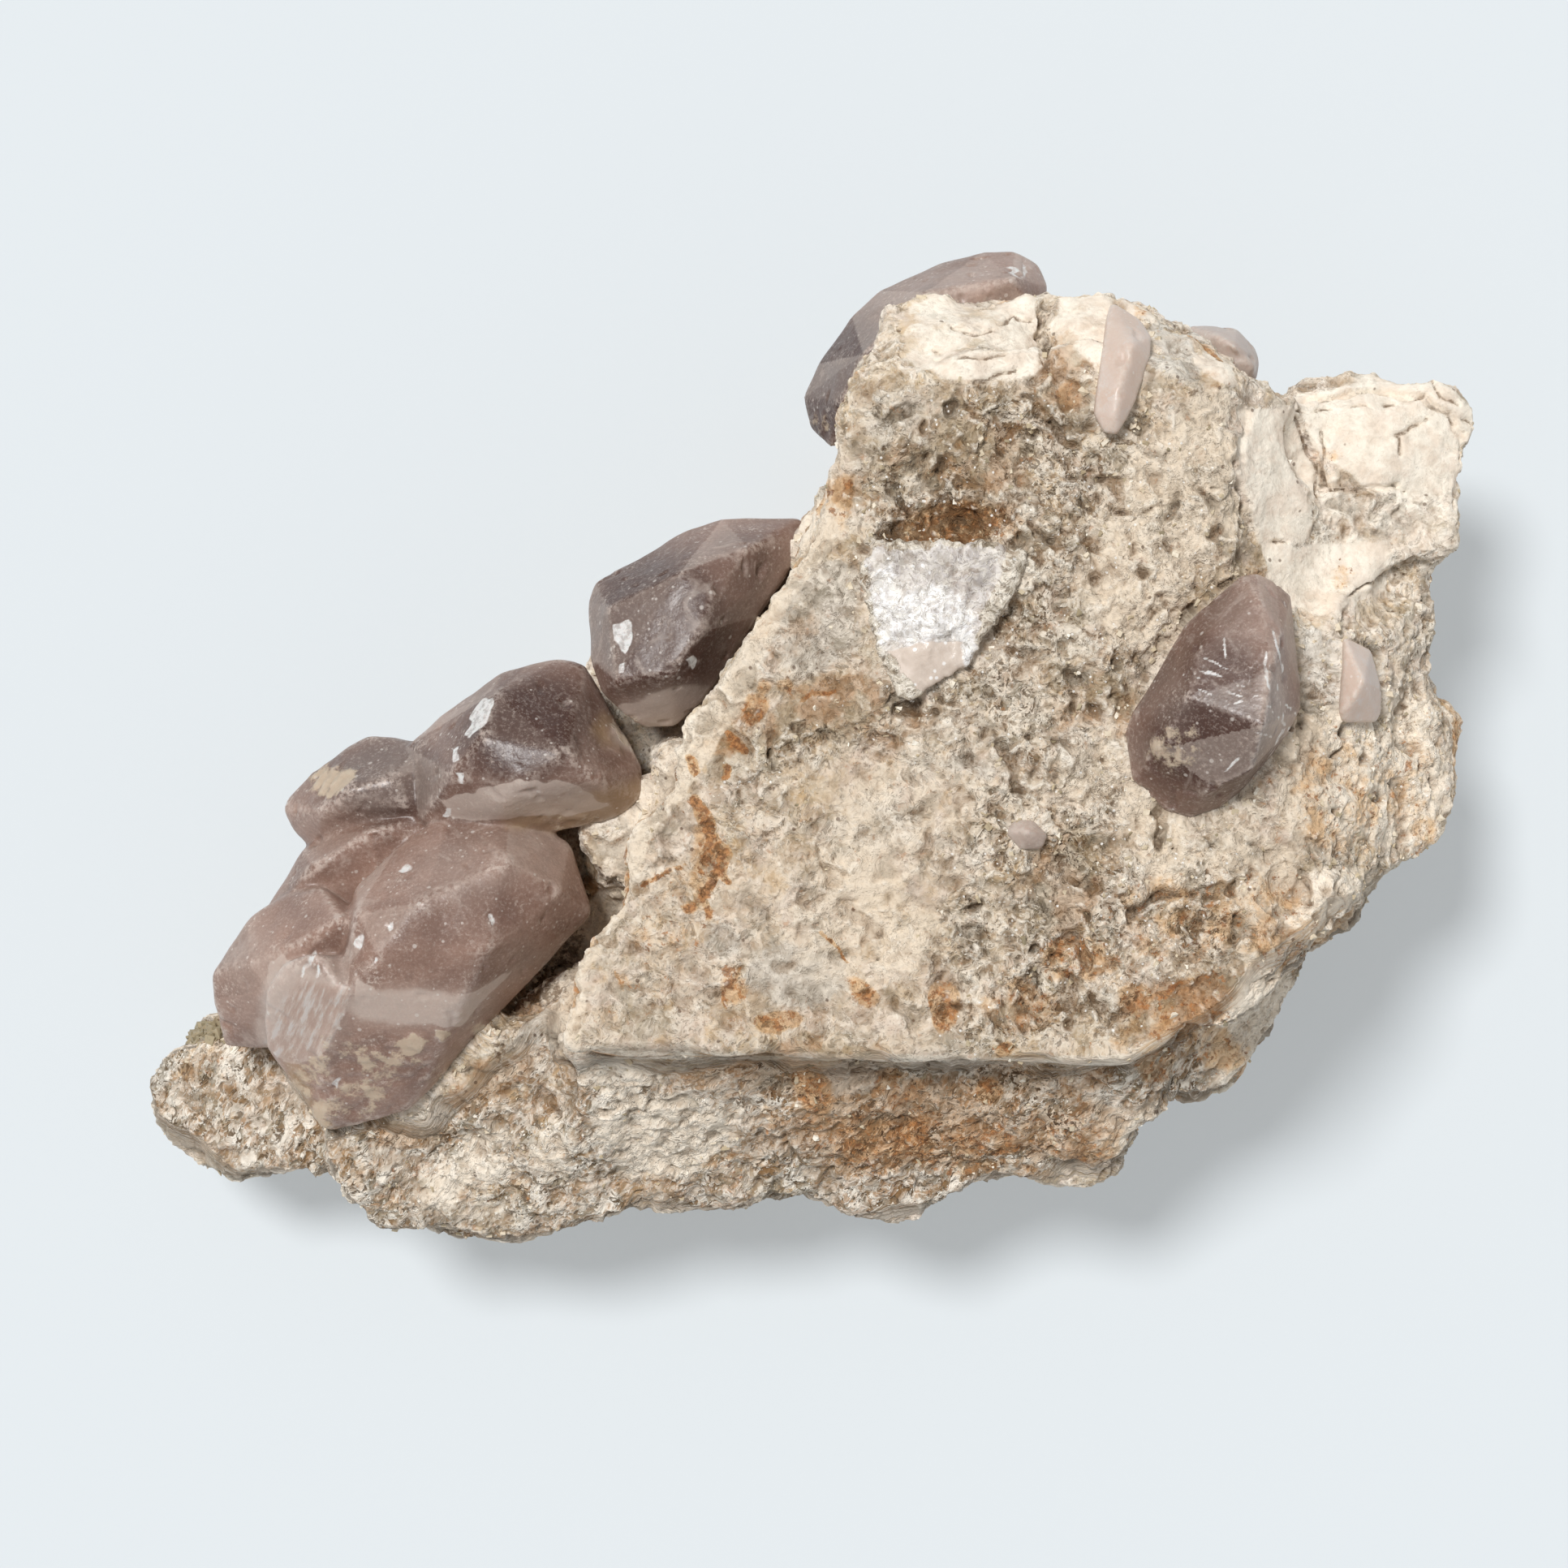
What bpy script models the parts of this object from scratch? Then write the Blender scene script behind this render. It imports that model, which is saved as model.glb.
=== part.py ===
"""Mauve calcite crystals on a block of pale, vuggy carbonate rock, lying on its trimmed flat back.

The rock is put together from overlapping blocks, each one a layer, ledge or flank of the real stone, and is
then fused, weathered and thinned out to broad broken facets. Every crystal is the convex body that its
corners span, and stands in a socket in the rock. Sizes are in millimetres, seen from straight above: X runs
across the broken face, Y up it and Z out of it.
"""

import math

import bmesh
import bpy
from mathutils import Vector, noise

MM = 0.001

# The gap that a crystal keeps to the walls of its socket.
SOCKET_GAP = 0.35

# The rock's fused skin: how fine it is made, and the share of its triangles that stays.
SKIN_VOXEL = 1.4
SKIN_KEPT = 0.148

# The rock's weathering: the size of each kind of unevenness, and how far it moves the skin.
LUMP_SIZE = 15.0
LUMP_DEPTH = 1.3
CHIP_SIZE = 8.0
CHIP_DEPTH = 1.1
PIT_SIZE = 4.2
PIT_DEPTH = 0.5
SIDE_STEP_SIZE = 17.0
SIDE_STEP_DEPTH = 3.0
SIDE_STEP_FLATNESS = 0.5
SIDE_SWELL = 1.8

# Each block of the rock: its rim as seen from above, the height of its top at the rim's middle, how much that
# top rises per millimetre of X and of Y, the height of its foot, the foot's size as a share of the rim's, and
# how far the foot is shifted in X and Y.
ROCK_BLOCKS = {
    "broken_face": {
        "rim": [
            (-25.5, -26), (-22.5, -19), (-18, -9.5), (-12, 3), (-7, 13), (-6, 16.5), (-0.5, 24), (4, 31.5),
            (5.5, 37.5), (7, 42), (10, 46), (16.5, 47.5), (28, 47.5), (33.5, 49), (41, 49), (46, 47),
            (49.5, 43), (50.5, 36), (50, 29), (52, 23), (54, 19), (55, -18), (48, -26), (43.5, -29),
            (39, -30.5), (24.5, -29.7), (19, -29), (3, -29.2), (-10.5, -28.5), (-23.5, -27.6),
        ],
        "top": 59.0,
        "rise": (-0.025, -0.03),
        "foot": 43.0,
        "taper": 0.87,
        "lean": (0.0, 0.0),
    },
    "right_shoulder": {
        "rim": [
            (46, -27.5), (44, 0), (50, 20), (56, 20), (61, 15), (64.5, 8), (65.5, -1), (65.5, -10.5),
            (60.5, -15.5), (53, -22),
        ],
        "top": 53.5,
        "rise": (-0.42, 0.02),
        "foot": 34.0,
        "taper": 0.9,
        "lean": (-2.0, 0.0),
    },
    "lower_slab": {
        "rim": [
            (-54.5, -41), (-53.5, -45), (-50.5, -48.7), (-48.4, -52), (-42, -52.7), (-35.6, -53),
            (-32.8, -54.2), (-29, -54), (-21, -51.5), (-16.5, -49.6), (-9, -49.3), (-0.5, -49.9),
            (9, -49.8), (11.7, -50.3), (15.5, -48.7), (20.3, -48.2), (23.6, -46.3), (31.6, -46),
            (36.4, -44.4), (39.2, -42.5), (42.5, -38.2), (44, -27), (0, -22), (-24, -24), (-40, -30),
            (-48, -34),
        ],
        "top": 37.5,
        "rise": (0.0, 0.6),
        "foot": -3.0,
        "taper": 0.84,
        "lean": (2.0, 8.0),
    },
    "lower_right_layer": {
        "rim": [
            (40, -38.5), (43.5, -36.7), (47.2, -36.2), (52.8, -34.6), (54.7, -32.2), (57, -28),
            (57.5, -25.7), (60.3, -23.3), (60.8, -20), (64, -17.2), (67, -14), (68.7, -10.7), (58, -6),
            (42, -24),
        ],
        "top": 38.5,
        "rise": (-0.12, 0.2),
        "foot": -2.0,
        "taper": 0.8,
        "lean": (-7.0, 6.0),
    },
    "left_lobe": {
        "rim": [
            (-66.4, -28), (-70, -29), (-74, -30.6), (-76, -33.5), (-76.6, -36.3), (-76, -39.4),
            (-72.4, -43.6), (-65.6, -46), (-59.4, -46.6), (-53, -46.4), (-46, -42), (-42, -32), (-48, -22),
            (-60, -22),
        ],
        "top": 28.5,
        "rise": (0.3, 0.08),
        "foot": 5.0,
        "taper": 0.66,
        "lean": (6.0, 3.0),
    },
    "crystal_seat": {
        "rim": [
            (-61, -27), (-58.5, -18.5), (-52, -11.5), (-49, -4), (-41.5, 2), (-32.5, 7), (-22, 13.5),
            (-18.5, 20.5), (-10.5, 25.5), (3, 29.5), (12, 30), (12, 0), (-4, -24), (-24, -31.5),
            (-44, -37),
        ],
        "top": 32.5,
        "rise": (0.05, -0.02),
        "foot": -3.0,
        "taper": 0.86,
        "lean": (5.0, -5.0),
    },
    "seat_rise": {
        "rim": [
            (-57, -31), (-51, -24), (-40, -22), (-32, -18), (-30, -24), (-36, -33), (-44, -38),
            (-52, -40),
        ],
        "top": 36.0,
        "rise": (-0.1, 0.0),
        "foot": 24.0,
        "taper": 0.95,
        "lean": (0.0, 0.0),
    },
    "nub": {
        "rim": [
            (-24, -6.5), (-23.8, -4.4), (-21.2, -4), (-15.2, -1.7), (-11, 3), (-6, 4), (-8, -6),
            (-15, -11), (-21, -12.5), (-22.5, -8.6),
        ],
        "top": 46.5,
        "rise": (0.1, 0.0),
        "foot": 28.0,
        "taper": 0.92,
        "lean": (0.0, 0.0),
    },
    "small_nub": {
        "rim": [(-15.6, 2.3), (-12.6, 5.8), (-10.2, 5), (-8, 2), (-12, 0.5)],
        "top": 49.0,
        "rise": (0.1, 0.1),
        "foot": 34.0,
        "taper": 1.0,
        "lean": (0.0, 0.0),
    },
    "top_rim": {
        "rim": [
            (8, 45), (9.3, 48), (9.5, 51), (11.5, 53.2), (16, 55), (28.3, 55.3), (34.3, 56.3), (40.7, 55.3),
            (42.3, 52.8), (45.3, 51.9), (48.9, 48.4), (53, 45.5), (48, 43.5), (30, 43.5), (12, 43.5),
        ],
        "top": 51.5,
        "rise": (0.0, -1.05),
        "foot": 22.0,
        "taper": 0.86,
        "lean": (0.0, -3.0),
    },
    "white_flank": {
        "rim": [
            (46, 46), (49.5, 48.3), (54, 45.8), (57.6, 43.6), (59, 36), (62.5, 28), (65, 21), (58, 17),
            (52, 21), (49.5, 30), (48.5, 40),
        ],
        "top": 51.0,
        "rise": (-0.72, 0.0),
        "foot": 16.0,
        "taper": 0.84,
        "lean": (-3.0, -2.0),
    },
    "wing": {
        "rim": [
            (57.6, 44), (63.1, 46.5), (71.4, 47.3), (76.2, 46.8), (79, 44), (80.6, 39.8), (78.7, 37.3),
            (77.8, 33), (77.6, 25.4), (71.4, 25), (62.2, 19.2), (54, 20), (52, 36),
        ],
        "top": 44.0,
        "rise": (-0.2, -0.12),
        "foot": 14.0,
        "taper": 0.72,
        "lean": (-7.0, -3.0),
    },
    "behind_wing": {
        "rim": [(58, 15), (58, 30), (71, 33), (75.5, 29), (75.5, 20), (72, 15)],
        "top": 33.0,
        "rise": (-0.1, 0.0),
        "foot": 6.0,
        "taper": 0.86,
        "lean": (-6.0, -1.0),
    },
    "right_flank": {
        "rim": [
            (62, 21), (69, 23), (75.5, 23), (77, 19.5), (77, 17), (74.6, 15.5), (74.8, 10.4), (77, 5.7),
            (78.6, 1), (77.5, -2.3), (72.8, -8.8), (69, -11.2), (58, -18), (56, 0),
        ],
        "top": 42.5,
        "rise": (-1.0, 0.0),
        "foot": 3.0,
        "taper": 0.84,
        "lean": (-8.0, 1.0),
    },
    "top_seat": {
        "rim": [
            (6.5, 40), (6.5, 46), (12, 53), (18, 56), (27, 57), (29.5, 56), (32, 46), (14, 37),
        ],
        "top": 34.0,
        "rise": (0.0, -0.1),
        "foot": 6.0,
        "taper": 0.8,
        "lean": (1.0, -6.0),
    },
    "core": {
        "rim": [
            (-20, -24), (-2, 13), (6, 36), (10, 44), (45, 45), (54, 36), (64, 18), (64, -8), (52, -22),
            (38, -27), (0, -27),
        ],
        "top": 46.0,
        "rise": (0.0, 0.0),
        "foot": 2.0,
        "taper": 0.9,
        "lean": (0.0, 0.0),
    },
    "back": {
        "rim": [
            (-60, -30), (-54, -10), (-34, 3), (-10, 17), (8, 36), (16, 49), (40, 50), (58, 38), (70, 22),
            (71, -4), (56, -24), (34, -41), (0, -46), (-44, -48), (-56, -40),
        ],
        "top": 16.0,
        "rise": (0.0, 0.0),
        "foot": -3.0,
        "taper": 0.93,
        "lean": (0.0, 0.0),
    },
}

# Hollows and swells of the rock's front: the middle, the half-length, the half-width, the turn in degrees from
# X, and how far the rock stands out there. A hollow goes in.
ROCK_RELIEF = {
    "iron_pit": (18.7, 28.3, 7.0, 2.8, 5, -2.2),
    "dark_hollow": (25.5, 37.5, 8.0, 3.2, 15, -1.6),
    "moat_left_of_crystal": (42.0, 14.0, 9.5, 2.6, 56, -3.4),
    "moat_right_of_crystal": (58.8, 10.5, 6.0, 3.0, 95, -3.2),
    "green_cavity": (30.8, -9.3, 4.8, 2.2, 80, -3.2),
    "brown_hollow": (29.0, -21.9, 5.0, 2.8, 75, -2.2),
    "long_hollow": (8.5, 3.2, 11.0, 3.4, -5, -1.3),
    "shallow_hollow": (5.0, 13.5, 5.0, 3.0, 60, -1.4),
    "plate_gap": (29.4, 50.2, 6.5, 1.9, 80, -4.0),
    "wing_gap": (59.4, 36.0, 9.0, 1.9, -70, -5.0),
    "wing_groove": (67.0, 44.5, 7.5, 1.4, 4, -2.6),
    "under_wing": (68.0, 21.0, 8.5, 3.2, 26, -5.0),
    "flank_pocket": (71.2, 7.0, 4.5, 2.4, 95, -3.0),
    "under_ledge": (18.0, -33.2, 26.0, 3.2, 0, -3.0),
    "crystal_cavity": (-27.0, -23.0, 7.0, 3.4, 48, -6.0),
    "slab_hollow": (-38.0, -42.5, 9.0, 2.8, 20, -2.5),
    "layer_notch": (56.0, -24.5, 9.0, 1.8, 42, -2.5),
    "chalk_plate": (18.4, 50.5, 10.5, 4.6, 8, 1.6),
    "pink_plate": (33.0, 51.8, 4.5, 3.2, 65, 1.3),
    "wing_plate": (68.0, 38.5, 9.5, 5.5, 0, 1.6),
    "shoulder_bulge": (61.0, -3.5, 8.5, 5.5, 52, 1.6),
    "slab_bulge": (-24.8, -41.0, 12.5, 6.0, 12, 2.2),
    "slab_end": (34.0, -40.5, 7.5, 4.2, 20, 1.6),
    "edge_swell": (-2.0, 13.0, 12.0, 4.0, 57, 1.1),
    "middle_swell": (6.0, -9.0, 12.0, 6.0, 25, 0.9),
}

# Each crystal body: the corners of its crown, which faces out of the rock, the corners of its girdle, and the
# height of its root, whose corners are the girdle's drawn in by the crystal's own share.
FRONT_CRYSTAL = {
    "crown": [
        (-40, -13, 57.5), (-31, -8.5, 55.5), (-25, -12, 52), (-33, -18.5, 57), (-45, -19, 57),
        (-47.5, -14.5, 54.5), (-36, -24.2, 54.5), (-48.5, -23, 55.5),
    ],
    "girdle": [
        (-37.3, -2.9, 46), (-31, -3, 46), (-24.2, -6.6, 45), (-21.7, -14.6, 46), (-30.8, -21.8, 49.5),
        (-36.7, -27.6, 50), (-42.6, -37.1, 43), (-51.8, -39.6, 42), (-52.4, -30.4, 50), (-48.2, -11.4, 47),
        (-43.6, -7.2, 47),
    ],
    "root": 27.0,
    "drawn_in": 0.78,
}
STRIATED_CRYSTAL = {
    "crown": [(-48.8, -23.1, 55.4), (-52.2, -18.8, 55), (-55.6, -19.8, 52)],
    "girdle": [
        (-58.3, -23.3, 50), (-58.6, -29.6, 45), (-54.7, -31, 45), (-52.1, -39.5, 41.8), (-50.5, -30.4, 50),
        (-46, -20, 50),
    ],
    "root": 27.0,
    "drawn_in": 0.8,
}
LEFT_CRYSTAL = {
    "crown": [(-55.7, -18.6, 49.5), (-58.3, -23.2, 46.5), (-49, -15, 52.5), (-60.5, -20, 46)],
    "girdle": [
        (-65.1, -21.6, 42), (-65, -24.6, 41), (-64.3, -30.2, 37), (-59.4, -30.3, 39), (-50, -28, 40),
        (-46, -16, 44), (-52.4, -11.6, 45), (-57.3, -12.9, 42), (-60.9, -15.3, 41),
    ],
    "root": 24.0,
    "drawn_in": 0.8,
}
STRIP_CRYSTAL = {
    "crown": [(-46.5, -5.2, 45.5), (-53.5, -9.5, 43.5), (-57.5, -14, 41)],
    "girdle": [
        (-60.6, -16.2, 37), (-57.9, -12.3, 37), (-55.1, -7.6, 38), (-52.3, -6, 39), (-46.6, -4, 41),
        (-39, -3.1, 43), (-38, -8, 42), (-46, -13, 41), (-56, -18, 38),
    ],
    "root": 24.0,
    "drawn_in": 0.8,
}
FAR_CRYSTAL = {
    "crown": [(-49.2, -0.8, 45), (-52.6, -3.1, 43), (-44.6, 0.6, 45.5), (-42.5, -2.5, 45)],
    "girdle": [
        (-57.6, -3.2, 36), (-57.3, -1.8, 36), (-54.4, 1.1, 36), (-50.9, 3.6, 37), (-47.7, 5.5, 37),
        (-44.9, 5.4, 38), (-41, 4.6, 40), (-38, 2, 41), (-38, -5, 40), (-47.6, -7, 38), (-53, -8.5, 36),
        (-56.5, -5.3, 36),
    ],
    "root": 24.0,
    "drawn_in": 0.72,
}
MIDDLE_CRYSTAL = {
    "crown": [
        (-32.1, 10.1, 51.5), (-33.5, 5.5, 55), (-36.9, 1.2, 54), (-29.3, 0.2, 56), (-24, 3.4, 56.2),
        (-20.6, 0.6, 54), (-31, -2, 54),
    ],
    "girdle": [
        (-42.8, 4.4, 41), (-38.9, 7.8, 42), (-35.2, 9.7, 44), (-32.2, 12.4, 45), (-29, 13.4, 45),
        (-25.3, 14.1, 45), (-22.6, 13.6, 45), (-20.8, 8.5, 46), (-18.3, 4.6, 47), (-16, 1.7, 46),
        (-16.1, -1.7, 46), (-18.6, -3.6, 46), (-24.3, -5, 46), (-34, -6, 46), (-41, -4.4, 45),
    ],
    "root": 24.0,
    "drawn_in": 0.76,
}
UPPER_CRYSTAL = {
    "crown": [
        (-19.4, 19.6, 52.5), (-18.6, 11.4, 55), (-11.6, 23.5, 54.5), (-12.4, 12.4, 56.2),
        (-9.3, 16.8, 56), (-4, 26.4, 51), (-8, 21, 55),
    ],
    "girdle": [
        (-22, 20.6, 45), (-21.3, 22.8, 44), (-15.3, 26, 43), (-10.7, 28.9, 42), (-7, 30.1, 42),
        (1.8, 30.2, 42), (3.1, 28.1, 43), (-3.3, 18.7, 48), (-9, 9.6, 49), (-12.3, 6.6, 47),
        (-15.5, 6.4, 47.5), (-17.6, 7.6, 49), (-20.4, 10.2, 50), (-21.6, 14.1, 49),
    ],
    "root": 26.0,
    "drawn_in": 0.8,
}
TOP_CRYSTAL = {
    "crown": [
        (26, 57.4, 43), (16, 55.6, 44.5), (9, 48.6, 45), (6.5, 43.6, 43.5),
    ],
    "girdle": [
        (5.4, 38.6, 37), (3.2, 40.9, 34), (2.3, 44.6, 33), (4.1, 48.6, 33), (7.9, 54, 33),
        (11.1, 57, 33), (18.2, 60.2, 33), (22.9, 61.3, 33), (26.6, 61.4, 33), (29.3, 59.9, 34),
        (30.4, 57.3, 35), (29, 52, 38), (14, 46, 38), (8, 40, 40),
    ],
    "root": 22.0,
    "drawn_in": 0.8,
}
RIDGE_CRYSTAL = {
    "crown": [(51, 49.6, 44), (49, 51, 42.5), (53.2, 47.5, 42)],
    "girdle": [
        (46.5, 52.7, 36), (49.8, 52.5, 36), (52, 52.3, 36), (54.2, 50, 36), (54.6, 48.6, 37),
        (54, 46.3, 38), (51, 44.5, 40), (46.5, 48, 38),
    ],
    "root": 26.0,
    "drawn_in": 0.7,
}
FACE_CRYSTAL = {
    "crown": [
        (51.8, 20.2, 65), (54, 16, 66), (45.2, 14.2, 65.5), (43.8, 9.4, 67.5), (52.6, 12, 68.5),
        (51.6, 6.4, 70), (41.2, 4, 64.5), (46.8, -0.4, 64.5), (50.8, 1.6, 66.5),
    ],
    "girdle": [
        (52, 23.1, 60), (54.2, 22.1, 59), (56, 20.9, 57), (56.3, 16.5, 57), (57, 10.8, 57),
        (56.9, 8.2, 57.5), (55.5, 5.6, 58), (53.9, 3.2, 58), (50.3, -0.7, 58), (48, -2.6, 58),
        (44.8, -3.6, 58), (42.1, -2.8, 58), (38.4, 0.5, 59), (37.7, 5.5, 59), (38.5, 7.8, 60),
        (41.2, 11.4, 60), (43.2, 14.1, 60), (44.1, 17.3, 60), (46.9, 18.9, 61), (50.2, 22.8, 61),
    ],
    "root": 47.0,
    "drawn_in": 0.7,
}
FLANK_SLIVER = {
    "crown": [(64.3, 11.4, 55.5), (63.2, 9.4, 55)],
    "girdle": [
        (62.4, 16.4, 53), (65.6, 15, 51), (67, 10.5, 49.5), (67, 8, 49), (66.4, 6.9, 49.5),
        (62.3, 6.9, 53), (61.9, 8, 54), (62.2, 12.3, 54),
    ],
    "root": 43.0,
    "drawn_in": 0.7,
}
RIM_SLIVER = {
    "crown": [(36.8, 43.2, 61.7), (38.3, 48.4, 59), (36.4, 40.6, 61.6)],
    "girdle": [
        (36.7, 53.8, 50.5), (39.6, 51.8, 52), (40.8, 49.6, 54), (40.4, 47.3, 56.5), (39.2, 44.3, 58.5),
        (38.6, 42.2, 59.5), (36.6, 38.4, 60.5), (35.2, 38.7, 60.5), (34.2, 40.7, 60.5), (34.5, 43.5, 60),
        (35.1, 47, 58.5), (35.9, 51.4, 54),
    ],
    "root": 42.0,
    "drawn_in": 0.7,
}
WHITE_SPAR = {
    "crown": [(16, 22, 61), (22, 23, 61), (14.5, 14, 61.5)],
    "girdle": [
        (10.5, 26.6, 59.6), (17.6, 25.8, 60), (22.4, 26.2, 60), (26.8, 25.4, 59.6), (24.8, 21, 60),
        (21.3, 18.2, 60), (19.9, 13.1, 60.2), (17.1, 11.5, 60.2), (13.3, 8.9, 60.6), (11.4, 12.7, 60.2),
        (9.6, 18, 60), (8.6, 23.6, 59.6),
    ],
    "root": 51.0,
    "drawn_in": 0.75,
}
SMALL_CRYSTAL = {
    "crown": [(26.8, -5.3, 62.2)],
    "girdle": [
        (24.4, -5.3, 60), (25.3, -4, 60), (27.4, -4, 60), (29, -5.6, 60), (28.4, -7, 60), (26, -7.2, 60),
    ],
    "root": 55.0,
    "drawn_in": 0.6,
}

# Crystals that grew into each other are one solid.
CRYSTAL_SOLIDS = {
    "crystal_cluster": [
        FRONT_CRYSTAL, STRIATED_CRYSTAL, LEFT_CRYSTAL, STRIP_CRYSTAL, FAR_CRYSTAL, MIDDLE_CRYSTAL,
    ],
    "crystal_upper": [UPPER_CRYSTAL],
    "crystal_top": [TOP_CRYSTAL],
    "crystal_ridge": [RIDGE_CRYSTAL],
    "crystal_face": [FACE_CRYSTAL],
    "crystal_small": [SMALL_CRYSTAL],
    "sliver_flank": [FLANK_SLIVER],
    "sliver_rim": [RIM_SLIVER],
    "spar_white": [WHITE_SPAR],
}

# Linear colours, roughness and transmission of each stuff.
FINISHES = {
    "matrix_rock": ((0.60, 0.51, 0.39), 0.88, 0.0),
    "mauve_calcite": ((0.26, 0.19, 0.195), 0.22, 0.45),
    "pale_calcite": ((0.66, 0.56, 0.52), 0.30, 0.25),
    "white_spar": ((0.76, 0.75, 0.76), 0.40, 0.15),
}
NODE_FINISH = {
    "matrix": "matrix_rock",
    "sliver_flank": "pale_calcite",
    "sliver_rim": "pale_calcite",
    "spar_white": "white_spar",
}


def clear_scene():
    for obj in list(bpy.data.objects):
        bpy.data.objects.remove(obj, do_unlink=True)


def finish(name):
    """The Principled material of one stuff, made once."""
    if name in bpy.data.materials:
        return bpy.data.materials[name]
    colour, roughness, transmission = FINISHES[name]
    material = bpy.data.materials.new(name)
    material.use_nodes = True
    shader = material.node_tree.nodes["Principled BSDF"]
    shader.inputs["Base Color"].default_value = (*colour, 1.0)
    shader.inputs["Roughness"].default_value = roughness
    shader.inputs["Transmission Weight"].default_value = transmission
    shader.inputs["Metallic"].default_value = 0.0
    return material


def add_object(name, bm, helper=False):
    """Puts a bmesh in the scene. A helper shapes other objects and is no piece of its own."""
    mesh = bpy.data.meshes.new(name)
    bm.to_mesh(mesh)
    bm.free()
    obj = bpy.data.objects.new(name, mesh)
    bpy.context.scene.collection.objects.link(obj)
    if helper:
        obj.hide_render = True
        obj.display_type = "WIRE"
    return obj


def rim_middle(rim):
    return sum((Vector(point) for point in rim), Vector((0.0, 0.0))) / len(rim)


def add_block(bm, block):
    """One closed layer of the rock: its rim as a face, drawn down to a smaller foot."""
    middle = rim_middle(block["rim"])
    rise = Vector(block["rise"])
    corners = []
    for point in block["rim"]:
        height = block["top"] + rise.dot(Vector(point) - middle)
        corners.append(bm.verts.new(Vector((*point, height)) * MM))
    top = bm.faces.new(corners)
    drawn = bmesh.ops.extrude_face_region(bm, geom=[top])
    for vert in (item for item in drawn["geom"] if isinstance(item, bmesh.types.BMVert)):
        flat = middle + (Vector(vert.co.xy) / MM - middle) * block["taper"] + Vector(block["lean"])
        vert.co = Vector((*flat, block["foot"])) * MM


def relief(point):
    """How far the named hollows and swells move a point of the rock's front, in millimetres."""
    moved = 0.0
    for middle_x, middle_y, length, width, turn, height in ROCK_RELIEF.values():
        along = Vector((math.cos(math.radians(turn)), math.sin(math.radians(turn))))
        offset = Vector((point.x - middle_x, point.y - middle_y))
        distance = (offset.dot(along) / length) ** 2 + (offset.cross(along) / width) ** 2
        moved += height * max(0.0, 1.0 - distance) ** 2
    return moved


def weathered(position, normal):
    """How far outwards weathering moves a point of the rock's skin, in metres."""
    point = position / MM
    lumps = noise.noise(point / LUMP_SIZE) + 0.5 * noise.noise(point / (LUMP_SIZE / 2))
    nearest, second = noise.voronoi(point / CHIP_SIZE)[0][:2]
    chips = min(second - nearest, 0.6) - 0.3
    pits = min(0.0, noise.noise(point / PIT_SIZE) + 0.1)
    front = min(1.0, max(0.0, 2.0 * normal.z))
    side = min(1.0, max(0.0, 1.6 - 2.4 * abs(normal.z)))
    squashed = Vector((point.x, point.y, point.z / SIDE_STEP_FLATNESS)) / SIDE_STEP_SIZE
    nearest, second = noise.voronoi(squashed)[0][:2]
    steps = side * min(0.0, second - nearest - 0.5)
    uneven = LUMP_DEPTH * lumps + CHIP_DEPTH * chips + 2 * PIT_DEPTH * pits + 2 * SIDE_STEP_DEPTH * steps
    return (uneven + SIDE_SWELL * side + front * relief(point)) * MM


def voxel_skin(bm):
    """The one closed skin around everything in a bmesh, which it uses up."""
    blocks = add_object("blocks", bm, helper=True)
    skin = blocks.modifiers.new("fuse", "REMESH")
    skin.mode = "VOXEL"
    skin.voxel_size = SKIN_VOXEL * MM
    bpy.context.view_layer.update()
    graph = bpy.context.evaluated_depsgraph_get()
    mesh = bpy.data.meshes.new_from_object(blocks.evaluated_get(graph))
    bpy.data.objects.remove(blocks)
    bm = bmesh.new()
    bm.from_mesh(mesh)
    return bm


def fused_rock():
    """All blocks fused in one skin, and weathered along its normals."""
    bm = bmesh.new()
    for block in ROCK_BLOCKS.values():
        add_block(bm, block)
    bmesh.ops.recalc_face_normals(bm, faces=bm.faces)
    bm = voxel_skin(bm)
    bmesh.ops.smooth_vert(bm, verts=bm.verts, factor=0.5, use_axis_x=True, use_axis_y=True, use_axis_z=True)
    bm.normal_update()
    for vert in bm.verts:
        vert.co += vert.normal * weathered(vert.co, vert.normal)
    return voxel_skin(bm)


def crystal_body(corners, gap=0.0):
    """The convex body of a crystal's crown, girdle and root, its faces moved out by the gap."""
    middle = rim_middle([corner[:2] for corner in corners["girdle"]])
    root = []
    for corner in corners["girdle"]:
        flat = middle + (Vector(corner[:2]) - middle) * corners["drawn_in"]
        root.append((*flat, corners["root"]))
    bm = bmesh.new()
    for corner in corners["crown"] + corners["girdle"] + root:
        bm.verts.new(Vector(corner) * MM)
    hull = bmesh.ops.convex_hull(bm, input=bm.verts, use_existing_faces=False)
    inner = {item for item in hull["geom_interior"] if isinstance(item, bmesh.types.BMVert)}
    bmesh.ops.delete(bm, geom=list(inner), context="VERTS")
    bmesh.ops.recalc_face_normals(bm, faces=bm.faces)
    if gap:
        bm.normal_update()
        moves = [vert.normal * vert.calc_shell_factor() * gap * MM for vert in bm.verts]
        for vert, move in zip(bm.verts, moves):
            vert.co += move
    return bm


def cut(obj, cutter, operation="DIFFERENCE"):
    boolean = obj.modifiers.new(cutter.name, "BOOLEAN")
    boolean.operation = operation
    boolean.object = cutter


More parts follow.
